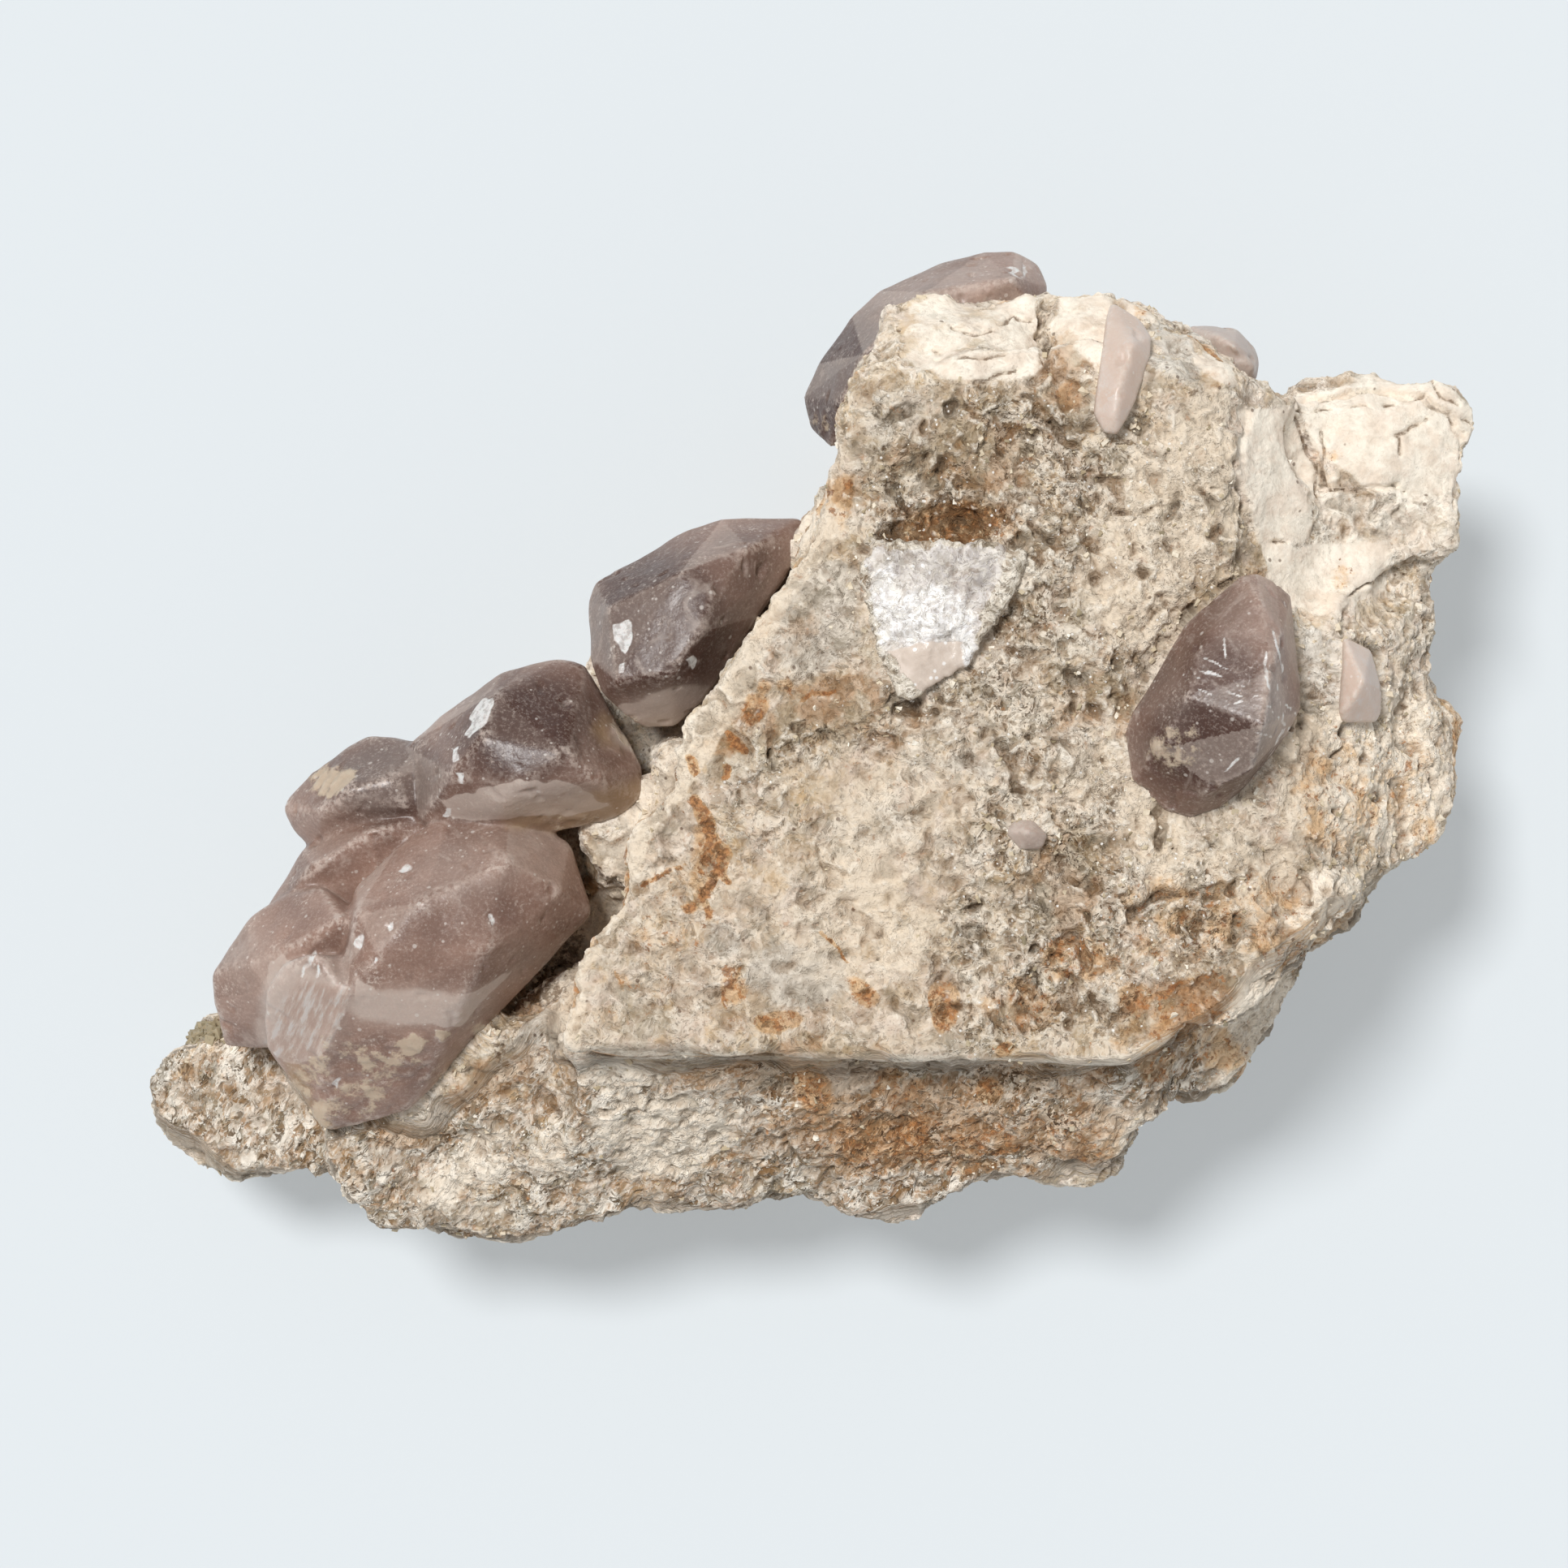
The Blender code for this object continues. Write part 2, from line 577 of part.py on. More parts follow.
def build_crystals():
    """Each solid of one or more grown-together crystals, and the cutters of their sockets."""
    solids, cutters = [], []
    for name, bodies in CRYSTAL_SOLIDS.items():
        solid = add_object(name, crystal_body(bodies[0]))
        for number, corners in enumerate(bodies):
            if number:
                helper = add_object(f"{name}_body_{number}", crystal_body(corners), helper=True)
                cut(solid, helper, "UNION")
            cutters.append(add_object(f"{name}_socket_{number}", crystal_body(corners, SOCKET_GAP), helper=True))
        solid.data.materials.append(finish(NODE_FINISH.get(name, "mauve_calcite")))
        solids.append(solid)
    return solids, cutters


def ground_cutter():
    """Everything below the trimmed back."""
    bm = bmesh.new()
    bmesh.ops.create_cube(bm, size=0.4)
    bmesh.ops.translate(bm, verts=bm.verts, vec=(0.0, 0.0, -0.2))
    return add_object("ground", bm, helper=True)


def keep_largest_body(bm):
    """Drops the crumbs that the cuts leave loose beside the rock."""
    left = set(bm.verts)
    bodies = []
    while left:
        body = {left.pop()}
        front = list(body)
        while front:
            for edge in front.pop().link_edges:
                for vert in edge.verts:
                    if vert in left:
                        left.remove(vert)
                        body.add(vert)
                        front.append(vert)
        bodies.append(body)
    largest = max(bodies, key=len)
    loose = [vert for vert in bm.verts if vert not in largest]
    bmesh.ops.delete(bm, geom=loose, context="VERTS")


def build_rock(sockets):
    blank = add_object("blank", fused_rock(), helper=True)
    thin = blank.modifiers.new("broad_facets", "DECIMATE")
    thin.ratio = SKIN_KEPT
    cut(blank, ground_cutter())
    for socket in sockets:
        cut(blank, socket)
    bpy.context.view_layer.update()
    graph = bpy.context.evaluated_depsgraph_get()
    mesh = bpy.data.meshes.new_from_object(blank.evaluated_get(graph))
    bm = bmesh.new()
    bm.from_mesh(mesh)
    keep_largest_body(bm)
    bpy.data.objects.remove(blank)
    rock = add_object("matrix", bm)
    rock.data.materials.append(finish("matrix_rock"))
    return rock


def centre_over_origin(objects):
    """Moves everything so that the origin is under the middle of the whole specimen, on its base."""
    bpy.context.view_layer.update()
    graph = bpy.context.evaluated_depsgraph_get()
    corners = []
    for obj in objects:
        shape = obj.evaluated_get(graph)
        corners += [shape.matrix_world @ Vector(corner) for corner in shape.bound_box]
    middle = Vector(
        (max(c[axis] for c in corners) + min(c[axis] for c in corners)) / 2 for axis in range(3)
    )
    shift = Vector((-middle.x, -middle.y, -min(corner.z for corner in corners)))
    for obj in bpy.data.objects:
        obj.location += shift


def main():
    clear_scene()
    crystals, sockets = build_crystals()
    rock = build_rock(sockets)
    centre_over_origin([rock, *crystals])


main()
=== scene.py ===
"""Calcite specimen: mauve crystals along a block of pale carbonate rock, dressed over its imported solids."""

import math
import random

import bmesh
import bpy
import numpy as np
from bpy.props import FloatProperty, FloatVectorProperty, IntProperty, PointerProperty
from bpy.types import Operator, Panel, PropertyGroup
from mathutils import Matrix, Vector, noise
from mathutils.bvhtree import BVHTree


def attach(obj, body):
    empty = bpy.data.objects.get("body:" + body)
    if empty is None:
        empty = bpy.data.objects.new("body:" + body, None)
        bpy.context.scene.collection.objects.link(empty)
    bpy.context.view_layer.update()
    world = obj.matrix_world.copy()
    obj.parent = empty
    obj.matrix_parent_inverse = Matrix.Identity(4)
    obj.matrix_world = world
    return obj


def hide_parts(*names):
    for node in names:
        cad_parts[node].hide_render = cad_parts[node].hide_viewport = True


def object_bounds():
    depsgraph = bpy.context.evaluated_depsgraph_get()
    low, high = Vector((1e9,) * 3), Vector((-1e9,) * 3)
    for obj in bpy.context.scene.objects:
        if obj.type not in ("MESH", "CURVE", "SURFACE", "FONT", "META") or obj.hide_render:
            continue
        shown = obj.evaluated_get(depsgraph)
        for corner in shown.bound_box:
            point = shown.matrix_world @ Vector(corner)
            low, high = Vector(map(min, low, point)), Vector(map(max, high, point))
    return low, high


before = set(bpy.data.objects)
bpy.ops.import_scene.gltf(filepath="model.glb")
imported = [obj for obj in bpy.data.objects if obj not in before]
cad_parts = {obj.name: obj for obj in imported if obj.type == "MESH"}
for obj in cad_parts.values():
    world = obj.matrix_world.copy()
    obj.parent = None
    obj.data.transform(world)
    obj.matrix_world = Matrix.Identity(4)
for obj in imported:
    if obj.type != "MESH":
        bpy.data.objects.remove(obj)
CAD_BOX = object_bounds()
# Without a seed of its own, noise_vector is shifted by the time of day.
noise.seed_set(7)

bl_info = {
    "name": "Calcite Specimen",
    "version": (1, 0, 0),
    "blender": (4, 5, 0),
    "location": "View3D > Sidebar > Specimen",
    "description": "Dresses the packed solids of a calcite specimen with weathered rock and cloudy crystals",
    "category": "Object",
}

# The picture is 1932 pixels wide and looks straight down, so a place on the specimen can be
# named by where it is seen in the picture.
MM = 0.001
MIDDLE = 966.0
FOCAL = 5900.0
EYE = Vector((-0.002093, -0.003889, 0.5866))

CALCITE_IOR = 1.58
SINGLE_FINER = 0.8
SPAR_VOXEL = 0.0003
# The rock within this reach of a crystal is drawn to it, and a little past its face.
SEAM_REACH = 0.0011
SEAM_PULL = 1.25
# Height in millimetres by which the corner below the ledge is filled, and how many pixels it fades over.
LEDGE_RISE = 6.5
LEDGE_FADE = 140
# How deep a grain sits in the rock, in grain sizes; crumbs lie this near to a crystal.
GRAIN_SEAT = 0.25 - 0.42
CRUMB_REACH = 0.0022
GRAIN_BATCH = 60

MAUVE_NODES = ("crystal_cluster", "crystal_upper", "crystal_top", "crystal_ridge", "crystal_face", "crystal_small")
SLIVER_NODES = ("sliver_rim", "sliver_flank")


def shade(red, green, blue):
    """A colour as a screen shows it, 0 to 255, as the linear values that a shader takes."""
    return tuple(((c / 255 + 0.055) / 1.055) ** 2.4 for c in (red, green, blue))


# ---------------------------------------------------------------- settings


def length(name, description, default):
    """A setting in metres."""
    return FloatProperty(name=name, description=description, default=default, unit="LENGTH", precision=5)


def colour(name, description, default):
    """A setting that holds a colour."""
    return FloatVectorProperty(name=name, description=description, default=default, subtype="COLOR", min=0, max=1)


class RockSettings(PropertyGroup):
    voxel: length("Skin detail", "Size of the cells that the rock's skin is rebuilt with", 0.00048)
    lump_height: length("Lumps", "Height of the soft lumps", 0.0009)
    crumb_height: length("Crumbs", "Height of the tangled crumbs on the broken rock", 0.0006)
    flake_height: length("Flakes", "Height of the finest flakes", 0.00042)
    chunk_height: length("Chunks", "Height of the tilted, broken lumps", 0.00065)
    pit_depth: length("Pits", "Depth of the small cavities", 0.0011)
    crack_depth: length("Cracks", "Depth of the cracks in the chalky plates", 0.0005)
    groove_depth: length("Grooves", "Depth of the worn grooves between the plates", 0.0012)
    triangles: IntProperty(name="Triangles", description="Most triangles in the rock", default=575000)
    cream: colour("Cream", "Colour of the carbonate rock", shade(232, 214, 192))
    tan: colour("Tan", "Colour of the rock's darker parts", shade(212, 188, 154))
    blush: colour("Blush", "Colour of the rock's pinkish parts", shade(222, 204, 190))
    brown: colour("Brown", "Colour of the slab's stained parts", shade(164, 124, 82))
    face_shade: colour("Face shade", "Colour by which the broken face is darker than the flanks", shade(238, 234, 229))
    chalk_and_lit_edges: colour("Chalk", "Colour of the chalky plates", shade(255, 246, 230))
    grey: colour("Grey", "Colour of the grey, glassy parts", shade(216, 210, 200))
    # Powder colour, also laid on crests and summits as a painted highlight.
    powder_and_highlight: colour("Powder", "Colour of the pale crests", shade(254, 246, 232))
    light: colour("Light", "Colour of the rock's light patches", shade(250, 236, 216))
    olive_and_shade: colour("Olive", "Colour of the rock's dull patches", shade(182, 164, 132))
    iron: colour("Iron stain", "Colour of the orange stains", shade(240, 206, 160))
    rust: colour("Rust", "Colour of the darkest stains", shade(104, 74, 40))
    # Painted shade: the colour laid into the deep crevices.
    crevice_shade: colour("Dirt", "Colour of the deep crevices", shade(92, 72, 50))


class CrystalSettings(PropertyGroup):
    voxel: length("Skin detail", "Size of the cells that a crystal's skin is rebuilt with", 0.00034)
    edge_rounds: IntProperty(name="Worn edges", description="How often the crystals' edges are smoothed", default=3)
    swell: length("Swell", "How far a crystal grows to meet the rock", 0.00012)
    ripple: length("Ripple", "Height of the soft waves on the crystal faces", 0.00016)
    mauve: colour("Mauve", "Colour of the cloudy crystals", shade(184, 150, 134))
    deep: colour("Deep mauve", "Colour of the crystals' darkest parts", shade(78, 48, 38))
    veil: colour("Veil", "Colour of the pale veils and bands", shade(236, 220, 208))
    crust: colour("Crust", "Colour of the rock flour on the crystals", shade(232, 212, 186))
    blush: colour("Blush", "Colour of the pale slivers", shade(228, 206, 190))
    spar: colour("Spar", "Colour of the white spar", shade(226, 220, 216))


class GrainSettings(PropertyGroup):
    face_grains: IntProperty(name="Face grains", description="Small grains on the sugary rock", default=1500)
    contact_grains: IntProperty(name="Contact grains", description="Crumbs where crystals meet rock", default=1000)
    smallest: length("Smallest grain", "Edge of the smallest grain", 0.00022)
    largest: length("Largest grain", "Edge of the largest grain", 0.00062)


class StageSettings(PropertyGroup):
    lens: FloatProperty(name="Lens", description="Focal length on a 36 mm sensor", default=109.938, unit="CAMERA")
    lamp_tilt: FloatProperty(
        name="Lamp tilt", description="Lean of the soft lamp from straight above",
        default=math.radians(22.5), subtype="ANGLE")
    lamp_spread: FloatProperty(
        name="Lamp spread", description="How wide the soft lamp looks", default=math.radians(13), subtype="ANGLE")
    lamp_strength: FloatProperty(name="Lamp strength", description="Strength of the soft lamp", default=2.5)
    sky_strength: FloatProperty(name="Fill strength", description="Strength of the light all around", default=0.42)
    floor: colour("Floor", "Colour of the plain floor", shade(184, 189, 192))
    glow: FloatProperty(name="Floor glow", description="Strength of the light table under the specimen", default=0.53)


# ---------------------------------------------------------------- where things are seen


BROKEN_FACE = [(1030, 560), (1008, 640), (872, 862), (800, 990), (734, 1115), (674, 1256), (684, 1298),
               (1200, 1305), (1392, 1306), (1432, 1277), (1560, 1181), (1600, 1100), (1640, 1000), (1640, 900),
               (1600, 800), (1556, 700), (1530, 600), (1522, 490), (1420, 455), (1350, 520), (1285, 470),
               (1066, 470)]
SUGARY = [(1062, 480), (1285, 470), (1345, 545), (1430, 480), (1520, 500), (1528, 620), (1530, 700), (1400, 820),
          (1380, 930), (1440, 1015), (1570, 1050), (1520, 1180), (1400, 1290), (1150, 1300), (1160, 1050),
          (1215, 945), (1050, 935), (900, 1010), (885, 930), (990, 880), (1085, 862), (1052, 690), (1045, 590)]
SLAB = [(395, 1395), (520, 1385), (676, 1262), (690, 1304), (1390, 1312), (1440, 1285), (1560, 1190),
        (1700, 1080), (1710, 1150), (1530, 1345), (1400, 1425), (1080, 1500), (800, 1495), (630, 1545),
        (430, 1515), (390, 1450)]
SHOULDER = [(1600, 770), (1655, 757), (1712, 712), (1790, 700), (1810, 960), (1745, 1070), (1560, 1185),
            (1600, 1010)]
LOBE = [(165, 1310), (250, 1262), (335, 1285), (405, 1395), (400, 1460), (300, 1460), (165, 1360)]

# The smooth, chalky plates along the top rim, the flank and the wing.
CHALK_PLATES = [
    [(1120, 372), (1150, 360), (1276, 366), (1280, 458), (1200, 470), (1110, 450)],
    [(1306, 354), (1378, 356), (1356, 440), (1318, 450), (1300, 412)],
    [(1383, 358), (1428, 360), (1424, 396), (1395, 390)],
    [(1470, 426), (1520, 440), (1532, 476), (1490, 468)],
    [(1530, 500), (1598, 500), (1622, 590), (1612, 664), (1548, 668), (1532, 600)],
    [(1594, 490), (1680, 462), (1770, 458), (1838, 520), (1830, 572), (1812, 598), (1740, 620), (1682, 602),
     (1622, 560)],
    [(1553, 667), (1712, 672), (1708, 722), (1648, 758), (1560, 742)],
]
# Tables of soft ovals hold x, y, half length, half width, turn in degrees and strength.
CHALK_SPOTS = [
    (1279, 882, 34, 24, 10, 0.85), (1336, 990, 44, 40, 0, 0.9), (1356, 1366, 20, 16, 0, 0.8),
    (1640, 770, 16, 20, 0, 0.7), (1100, 410, 30, 46, -20, 0.5), (1325, 480, 22, 40, 0, 0.6),
    (1460, 620, 40, 70, 0, 0.35), (1380, 700, 60, 90, 20, 0.35), (800, 1000, 26, 12, 60, 0.5),
    (1520, 1000, 40, 30, 20, 0.4), (760, 1400, 70, 30, 10, 0.35), (600, 1440, 80, 40, 0, 0.3),
    (1190, 1180, 30, 60, 20, 0.35), (1080, 1240, 60, 30, 0, 0.35), (820, 1000, 60, 14, 62, 0.6),
]

ROCK_PIECES = ("rock_face", "rock_slab", "rock_flank", "rock_sides")
# Masks that the rock's material or its grains read.
ROCK_MASKS = ("front", "sugary", "slab", "plates", "chalk_and_lit_edges", "grey", "iron", "rust", "cracks", "hollow", "crest",
              "brown", "side", "spar", "face", "basin", "summit", "light", "olive_and_shade")
SPAR_RIM = [(1070, 682), (1140, 676), (1240, 680), (1232, 712), (1206, 748), (1196, 808), (1148, 856), (1122, 842),
            (1088, 786)]
LOWER_WING = [(1622, 604), (1800, 604), (1798, 692), (1712, 702), (1622, 664)]
# Broad lighter and duller parts of the rock. Some lighter ones are painted light where the rock lies in its own
# shadow, such as the low layer at 1550, 1260; some duller ones are painted shade in the recess beside the front
# crystal and under the ledge.
PALE_AND_LIT_SPOTS = [
    (1505, 600, 26, 90, 0, 0.9), (1490, 500, 40, 30, 0, 0.7), (1420, 800, 30, 50, 20, 0.5),
    (1350, 640, 50, 50, 0, 0.4), (1100, 1000, 120, 70, 10, 0.5), (1060, 1130, 110, 110, 0, 0.55),
    (1180, 1200, 60, 70, 0, 0.4), (1440, 620, 60, 100, 0, 0.75), (1480, 540, 46, 60, 0, 0.7),
    (1400, 730, 60, 90, 20, 0.75), (1430, 1040, 40, 90, 20, 0.7), (1340, 950, 60, 50, 0, 0.6),
    (1540, 1080, 70, 60, 0, 0.7), (1640, 960, 70, 90, 0, 0.9), (1720, 950, 60, 110, 10, 0.95),
    (600, 1440, 150, 60, 14, 0.5), (820, 1400, 100, 60, 0, 0.7), (760, 1330, 70, 30, 0, 0.6),
    (1380, 1390, 60, 30, 30, 0.6), (1550, 1260, 80, 50, 40, 1.0), (250, 1310, 90, 30, 0, 0.4),
    (760, 1020, 60, 50, 0, 0.6), (1250, 730, 30, 60, 0, 0.4), (1640, 1110, 60, 60, 40, 0.7),
    (960, 980, 60, 60, 0, 0.4),
]
# Painted highlight on the bevel along the face's left edge, which faces the lamp.
LIT_BEVEL_BAND = [([(1016, 640), (946, 752), (884, 862), (806, 1000), (744, 1118), (700, 1200), (690, 1270)], 34, 1.0)]
# Duller patches, and painted shade in the recess beside the front crystal and on the slab under the ledge.
DULL_AND_SHADED_SPOTS = [
    (700, 1140, 24, 80, -28, 0.9), (655, 1230, 50, 36, 30, 0.95), (740, 1050, 30, 40, 0, 0.7),
    (970, 770, 60, 50, 0, 0.5), (600, 1330, 60, 26, 30, 0.7), (500, 1400, 60, 20, 10, 0.7),
    (880, 905, 30, 30, 0, 0.6), (1180, 560, 100, 46, 0, 0.95), (1310, 470, 44, 66, 0, 0.7),
    (1020, 880, 90, 44, 20, 0.85), (1110, 900, 70, 30, 0, 0.6), (1110, 1385, 150, 50, 0, 1.0),
    (1300, 1395, 90, 40, 0, 0.8), (1000, 1400, 60, 40, 0, 0.6), (1330, 850, 60, 60, 0, 0.6),
    (1320, 1085, 46, 70, 0, 0.95), (1255, 1245, 60, 30, 0, 0.7), (1000, 1320, 100, 40, 0, 0.9),
    (1200, 1380, 80, 60, 0, 0.8), (1450, 1240, 90, 40, 20, 0.7), (1540, 720, 20, 60, 0, 0.6),
    (1220, 640, 60, 30, 0, 0.6), (1300, 690, 40, 40, 0, 0.4), (1000, 560, 20, 40, 0, 0.5),
    (1100, 1430, 100, 20, 0, 0.7), (1260, 1330, 120, 30, 0, 0.6), (920, 900, 30, 30, 0, 0.5),
    (1240, 800, 40, 60, 0, 0.4), (1390, 900, 20, 70, 10, 0.7), (1480, 470, 26, 26, 0, 0.6),
    (880, 1330, 60, 20, 0, 0.6), (1620, 840, 30, 60, 0, 0.4), (1290, 600, 60, 40, 20, 0.4),
    (1080, 620, 50, 40, 0, 0.5),
]
# Where the plates are less white.
DIM_CHALK = [(1100, 405, 40, 50, 0, 0.7), (1190, 410, 70, 50, 0, 0.45), (1340, 390, 30, 50, 0, 0.3)]
# Tables of lines hold the points, the width and the strength.
# Painted highlights along the face's lit left bevel, the ledge's lip and its right end.
LIT_EDGE_HIGHLIGHTS = [
    ([(1010, 640), (940, 750), (878, 858), (850, 905), (800, 995), (736, 1115), (700, 1190), (676, 1258)], 11, 0.95),
    ([(680, 1286), (760, 1296), (900, 1299), (1100, 1302), (1250, 1306), (1392, 1304), (1440, 1272)], 9, 0.75),
    ([(1440, 1268), (1560, 1181), (1600, 1120)], 8, 0.35),
]
GREY_SPOTS = [
    (1005, 770, 52, 70, -20, 0.9), (918, 806, 32, 24, 0, 0.85), (1120, 510, 70, 44, 0, 0.55),
    (978, 1200, 64, 40, -12, 0.95), (1330, 922, 28, 24, 0, 0.9), (1315, 1105, 34, 62, 0, 0.8),
    (892, 1160, 30, 26, 0, 0.7), (1052, 1324, 42, 24, 0, 0.8), (1450, 432, 36, 44, 20, 0.7),
    (1622, 828, 32, 62, 0, 0.75), (1240, 560, 60, 40, 0, 0.5), (1460, 560, 40, 40, 0, 0.55),
    (1180, 950, 90, 24, -5, 0.5), (1090, 1010, 80, 44, -20, 0.55), (760, 1040, 36, 40, 0, 0.7),
    (1220, 780, 22, 50, 0, 0.7), (1420, 660, 40, 60, 30, 0.4), (1310, 800, 50, 50, 0, 0.4),
    (196, 1326, 24, 20, 0, 0.7), (560, 1330, 60, 24, -40, 0.4), (1190, 900, 60, 30, 0, 0.5),
    (700, 1010, 30, 20, 0, 0.5), (1660, 1120, 40, 30, 50, 0.4), (1480, 480, 26, 26, 0, 0.5),
    (1560, 1010, 50, 34, 20, 0.3), (640, 1320, 60, 20, -30, 0.4), (1250, 700, 16, 20, 0, 0.7),
]
IRON_SPOTS = [
    (1650, 980, 60, 90, 0, 0.5), (1730, 960, 40, 80, 0, 0.5), (1450, 1130, 80, 60, 0, 0.55),
    (1560, 1130, 60, 60, 0, 0.5), (1300, 1400, 100, 40, 0, 0.5), (1100, 1400, 120, 50, 0, 0.55),
    (1450, 1250, 80, 40, 20, 0.6), (480, 1460, 60, 30, 0, 0.4), (1260, 1230, 50, 30, 0, 0.6),
    (830, 1130, 50, 60, 0, 0.4), (1170, 650, 72, 28, 6, 0.9), (1195, 640, 46, 20, 0, 0.9),
    (924, 872, 20, 18, -20, 0.9), (902, 913, 14, 12, 0, 0.75), (966, 851, 12, 9, 0, 0.6),
    (937, 849, 12, 9, 0, 0.6), (870, 1062, 16, 70, -6, 0.7), (791, 1165, 16, 20, 0, 0.6),
    (765, 1207, 12, 14, 0, 0.6), (902, 1215, 18, 30, -10, 0.8), (957, 1262, 30, 14, 5, 0.9),
    (1060, 1222, 16, 24, 30, 0.8), (1164, 1240, 18, 30, 0, 0.9), (1316, 1178, 40, 24, 0, 0.8),
    (1350, 1190, 38, 22, 0, 0.7), (1402, 1228, 30, 22, 0, 0.85), (1233, 1287, 14, 10, 0, 0.9),
    (1500, 1120, 40, 50, 20, 0.6), (1438, 1222, 30, 30, 0, 0.4), (1004, 1344, 26, 34, 0, 0.85),
    (1110, 1340, 40, 22, 0, 0.65), (1127, 1404, 30, 34, 0, 0.8), (1217, 1350, 16, 14, 0, 0.8),
    (1221, 1410, 50, 22, 0, 0.75), (1060, 1412, 34, 18, 0, 0.7), (1427, 1310, 30, 26, 0, 0.7),
    (1500, 1290, 40, 26, 20, 0.6), (1752, 1032, 22, 22, 0, 0.6), (1036, 620, 18, 40, -20, 0.7),
    (1325, 486, 18, 30, 0, 0.6), (1410, 378, 14, 14, 0, 0.7), (1655, 717, 24, 16, 30, 0.5),
    (1600, 1160, 40, 60, -40, 0.5), (900, 1440, 60, 24, 0, 0.45), (1180, 1440, 70, 14, 0, 0.6),
    (270, 1310, 40, 20, 10, 0.4), (560, 1400, 40, 22, 0, 0.35), (640, 1470, 50, 20, 0, 0.3),
    (1640, 1160, 30, 60, -40, 0.4), (1500, 640, 10, 14, 0, 0.4), (1180, 560, 30, 30, 0, 0.3),
    (840, 1010, 14, 22, 0, 0.3), (800, 1200, 40, 26, 0, 0.3), (1555, 880, 18, 30, 0, 0.4),
    (770, 1250, 36, 14, 0, 0.3), (1240, 1050, 20, 60, 10, 0.3), (1480, 1220, 60, 26, 25, 0.45),
    (930, 1380, 40, 20, 0, 0.35), (1639, 561, 20, 12, 0, 0.5), (1550, 960, 20, 40, 20, 0.4),
    (1720, 980, 30, 60, 0, 0.3), (1570, 1120, 30, 40, 20, 0.4),
]
RUST_SPOTS = [
    (670, 1215, 26, 30, 20, 0.9), (700, 1170, 12, 40, -28, 0.8), (620, 1290, 30, 16, 30, 0.6),
    (740, 1010, 20, 12, 0, 0.6), (1170, 648, 74, 24, 4, 0.85), (1120, 640, 30, 16, 0, 0.8),
    (1122, 656, 34, 22, 8, 0.95), (1160, 628, 26, 16, 0, 0.8), (1215, 634, 26, 16, 0, 0.75),
    (924, 876, 10, 8, 0, 0.7), (882, 1046, 8, 12, 0, 0.7), (872, 1085, 9, 10, 0, 0.8),
    (1306, 1065, 9, 12, 0, 0.8), (1300, 1176, 14, 10, 0, 0.6), (1470, 482, 14, 12, 0, 0.6),
    (1734, 868, 12, 30, 0, 0.5), (676, 1216, 20, 24, 0, 0.8), (1390, 880, 10, 60, 10, 0.6),
    (1120, 1366, 16, 12, 0, 0.5), (470, 1410, 30, 14, 0, 0.5), (365, 1425, 26, 14, 0, 0.5),
    (1228, 1350, 8, 8, 0, 0.8), (1232, 1287, 7, 6, 0, 0.8), (1399, 1227, 9, 9, 0, 0.7),
    (1160, 1245, 8, 16, 0, 0.7), (948, 1264, 12, 7, 0, 0.7), (1063, 1221, 7, 14, 30, 0.6),
    (1221, 1418, 24, 8, 0, 0.6), (1000, 1332, 10, 14, 0, 0.5), (913, 1304, 18, 8, 0, 0.5),
    (1087, 548, 4, 4, 0, 0.9), (1140, 563, 6, 6, 0, 0.9),
]
IRON_LINES = [
    ([(852, 936), (856, 952)], 9, 1.0), ([(896, 944), (892, 956)], 9, 1.0), ([(900, 905), (912, 922)], 9, 0.9),
    ([(856, 983), (862, 1000), (873, 1016), (880, 1040), (868, 1066)], 11, 1.0),
    ([(878, 1030), (892, 1052), (884, 1078), (866, 1104), (847, 1121)], 10, 1.0),
    ([(793, 1092), (812, 1082), (830, 1071), (846, 1066)], 4, 0.95), ([(885, 1074), (900, 1090)], 5, 0.8),
    ([(985, 865), (1004, 858), (1028, 851)], 4, 0.7), ([(868, 1104), (876, 1130)], 6, 0.8),
    ([(1047, 1188), (1030, 1170), (1013, 1149)], 4, 0.7), ([(913, 1193), (895, 1216), (891, 1240)], 5, 0.8),
    ([(1152, 1215), (1150, 1245), (1160, 1272)], 6, 0.8), ([(757, 1196), (766, 1214)], 4, 0.7),
    ([(1380, 1236), (1420, 1232), (1466, 1206)], 5, 0.7), ([(936, 1258), (960, 1266), (982, 1262)], 5, 0.8),
]
# Thin cracks, each drawn through its points.
CRACKS = [
    [(1597, 507), (1660, 500), (1727, 498), (1756, 488)],
    [(1593, 496), (1604, 541), (1617, 577), (1622, 612)],
    [(1628, 530), (1629, 550), (1631, 567)],
    [(1618, 580), (1640, 606), (1674, 596), (1700, 590), (1733, 606)],
    [(1717, 537), (1736, 533), (1750, 523), (1758, 515)],
    [(1786, 514), (1803, 528), (1822, 552)],
    [(1794, 514), (1816, 523), (1828, 541)],
    [(1553, 667), (1602, 667), (1606, 655)],
    [(1528, 565), (1530, 600), (1536, 640)],
    [(1172, 404), (1200, 412), (1226, 406)],
    [(1233, 400), (1249, 391), (1269, 395)],
    [(1154, 443), (1200, 441), (1239, 436)],
    [(1200, 472), (1227, 465), (1253, 456)],
    [(1150, 430), (1172, 440), (1190, 438)],
    [(1640, 758), (1664, 735), (1712, 706)],
    [(1640, 1180), (1668, 1130), (1700, 1090)],
    [(1722, 540), (1728, 560)],
    [(1764, 462), (1776, 490), (1800, 500)],
]
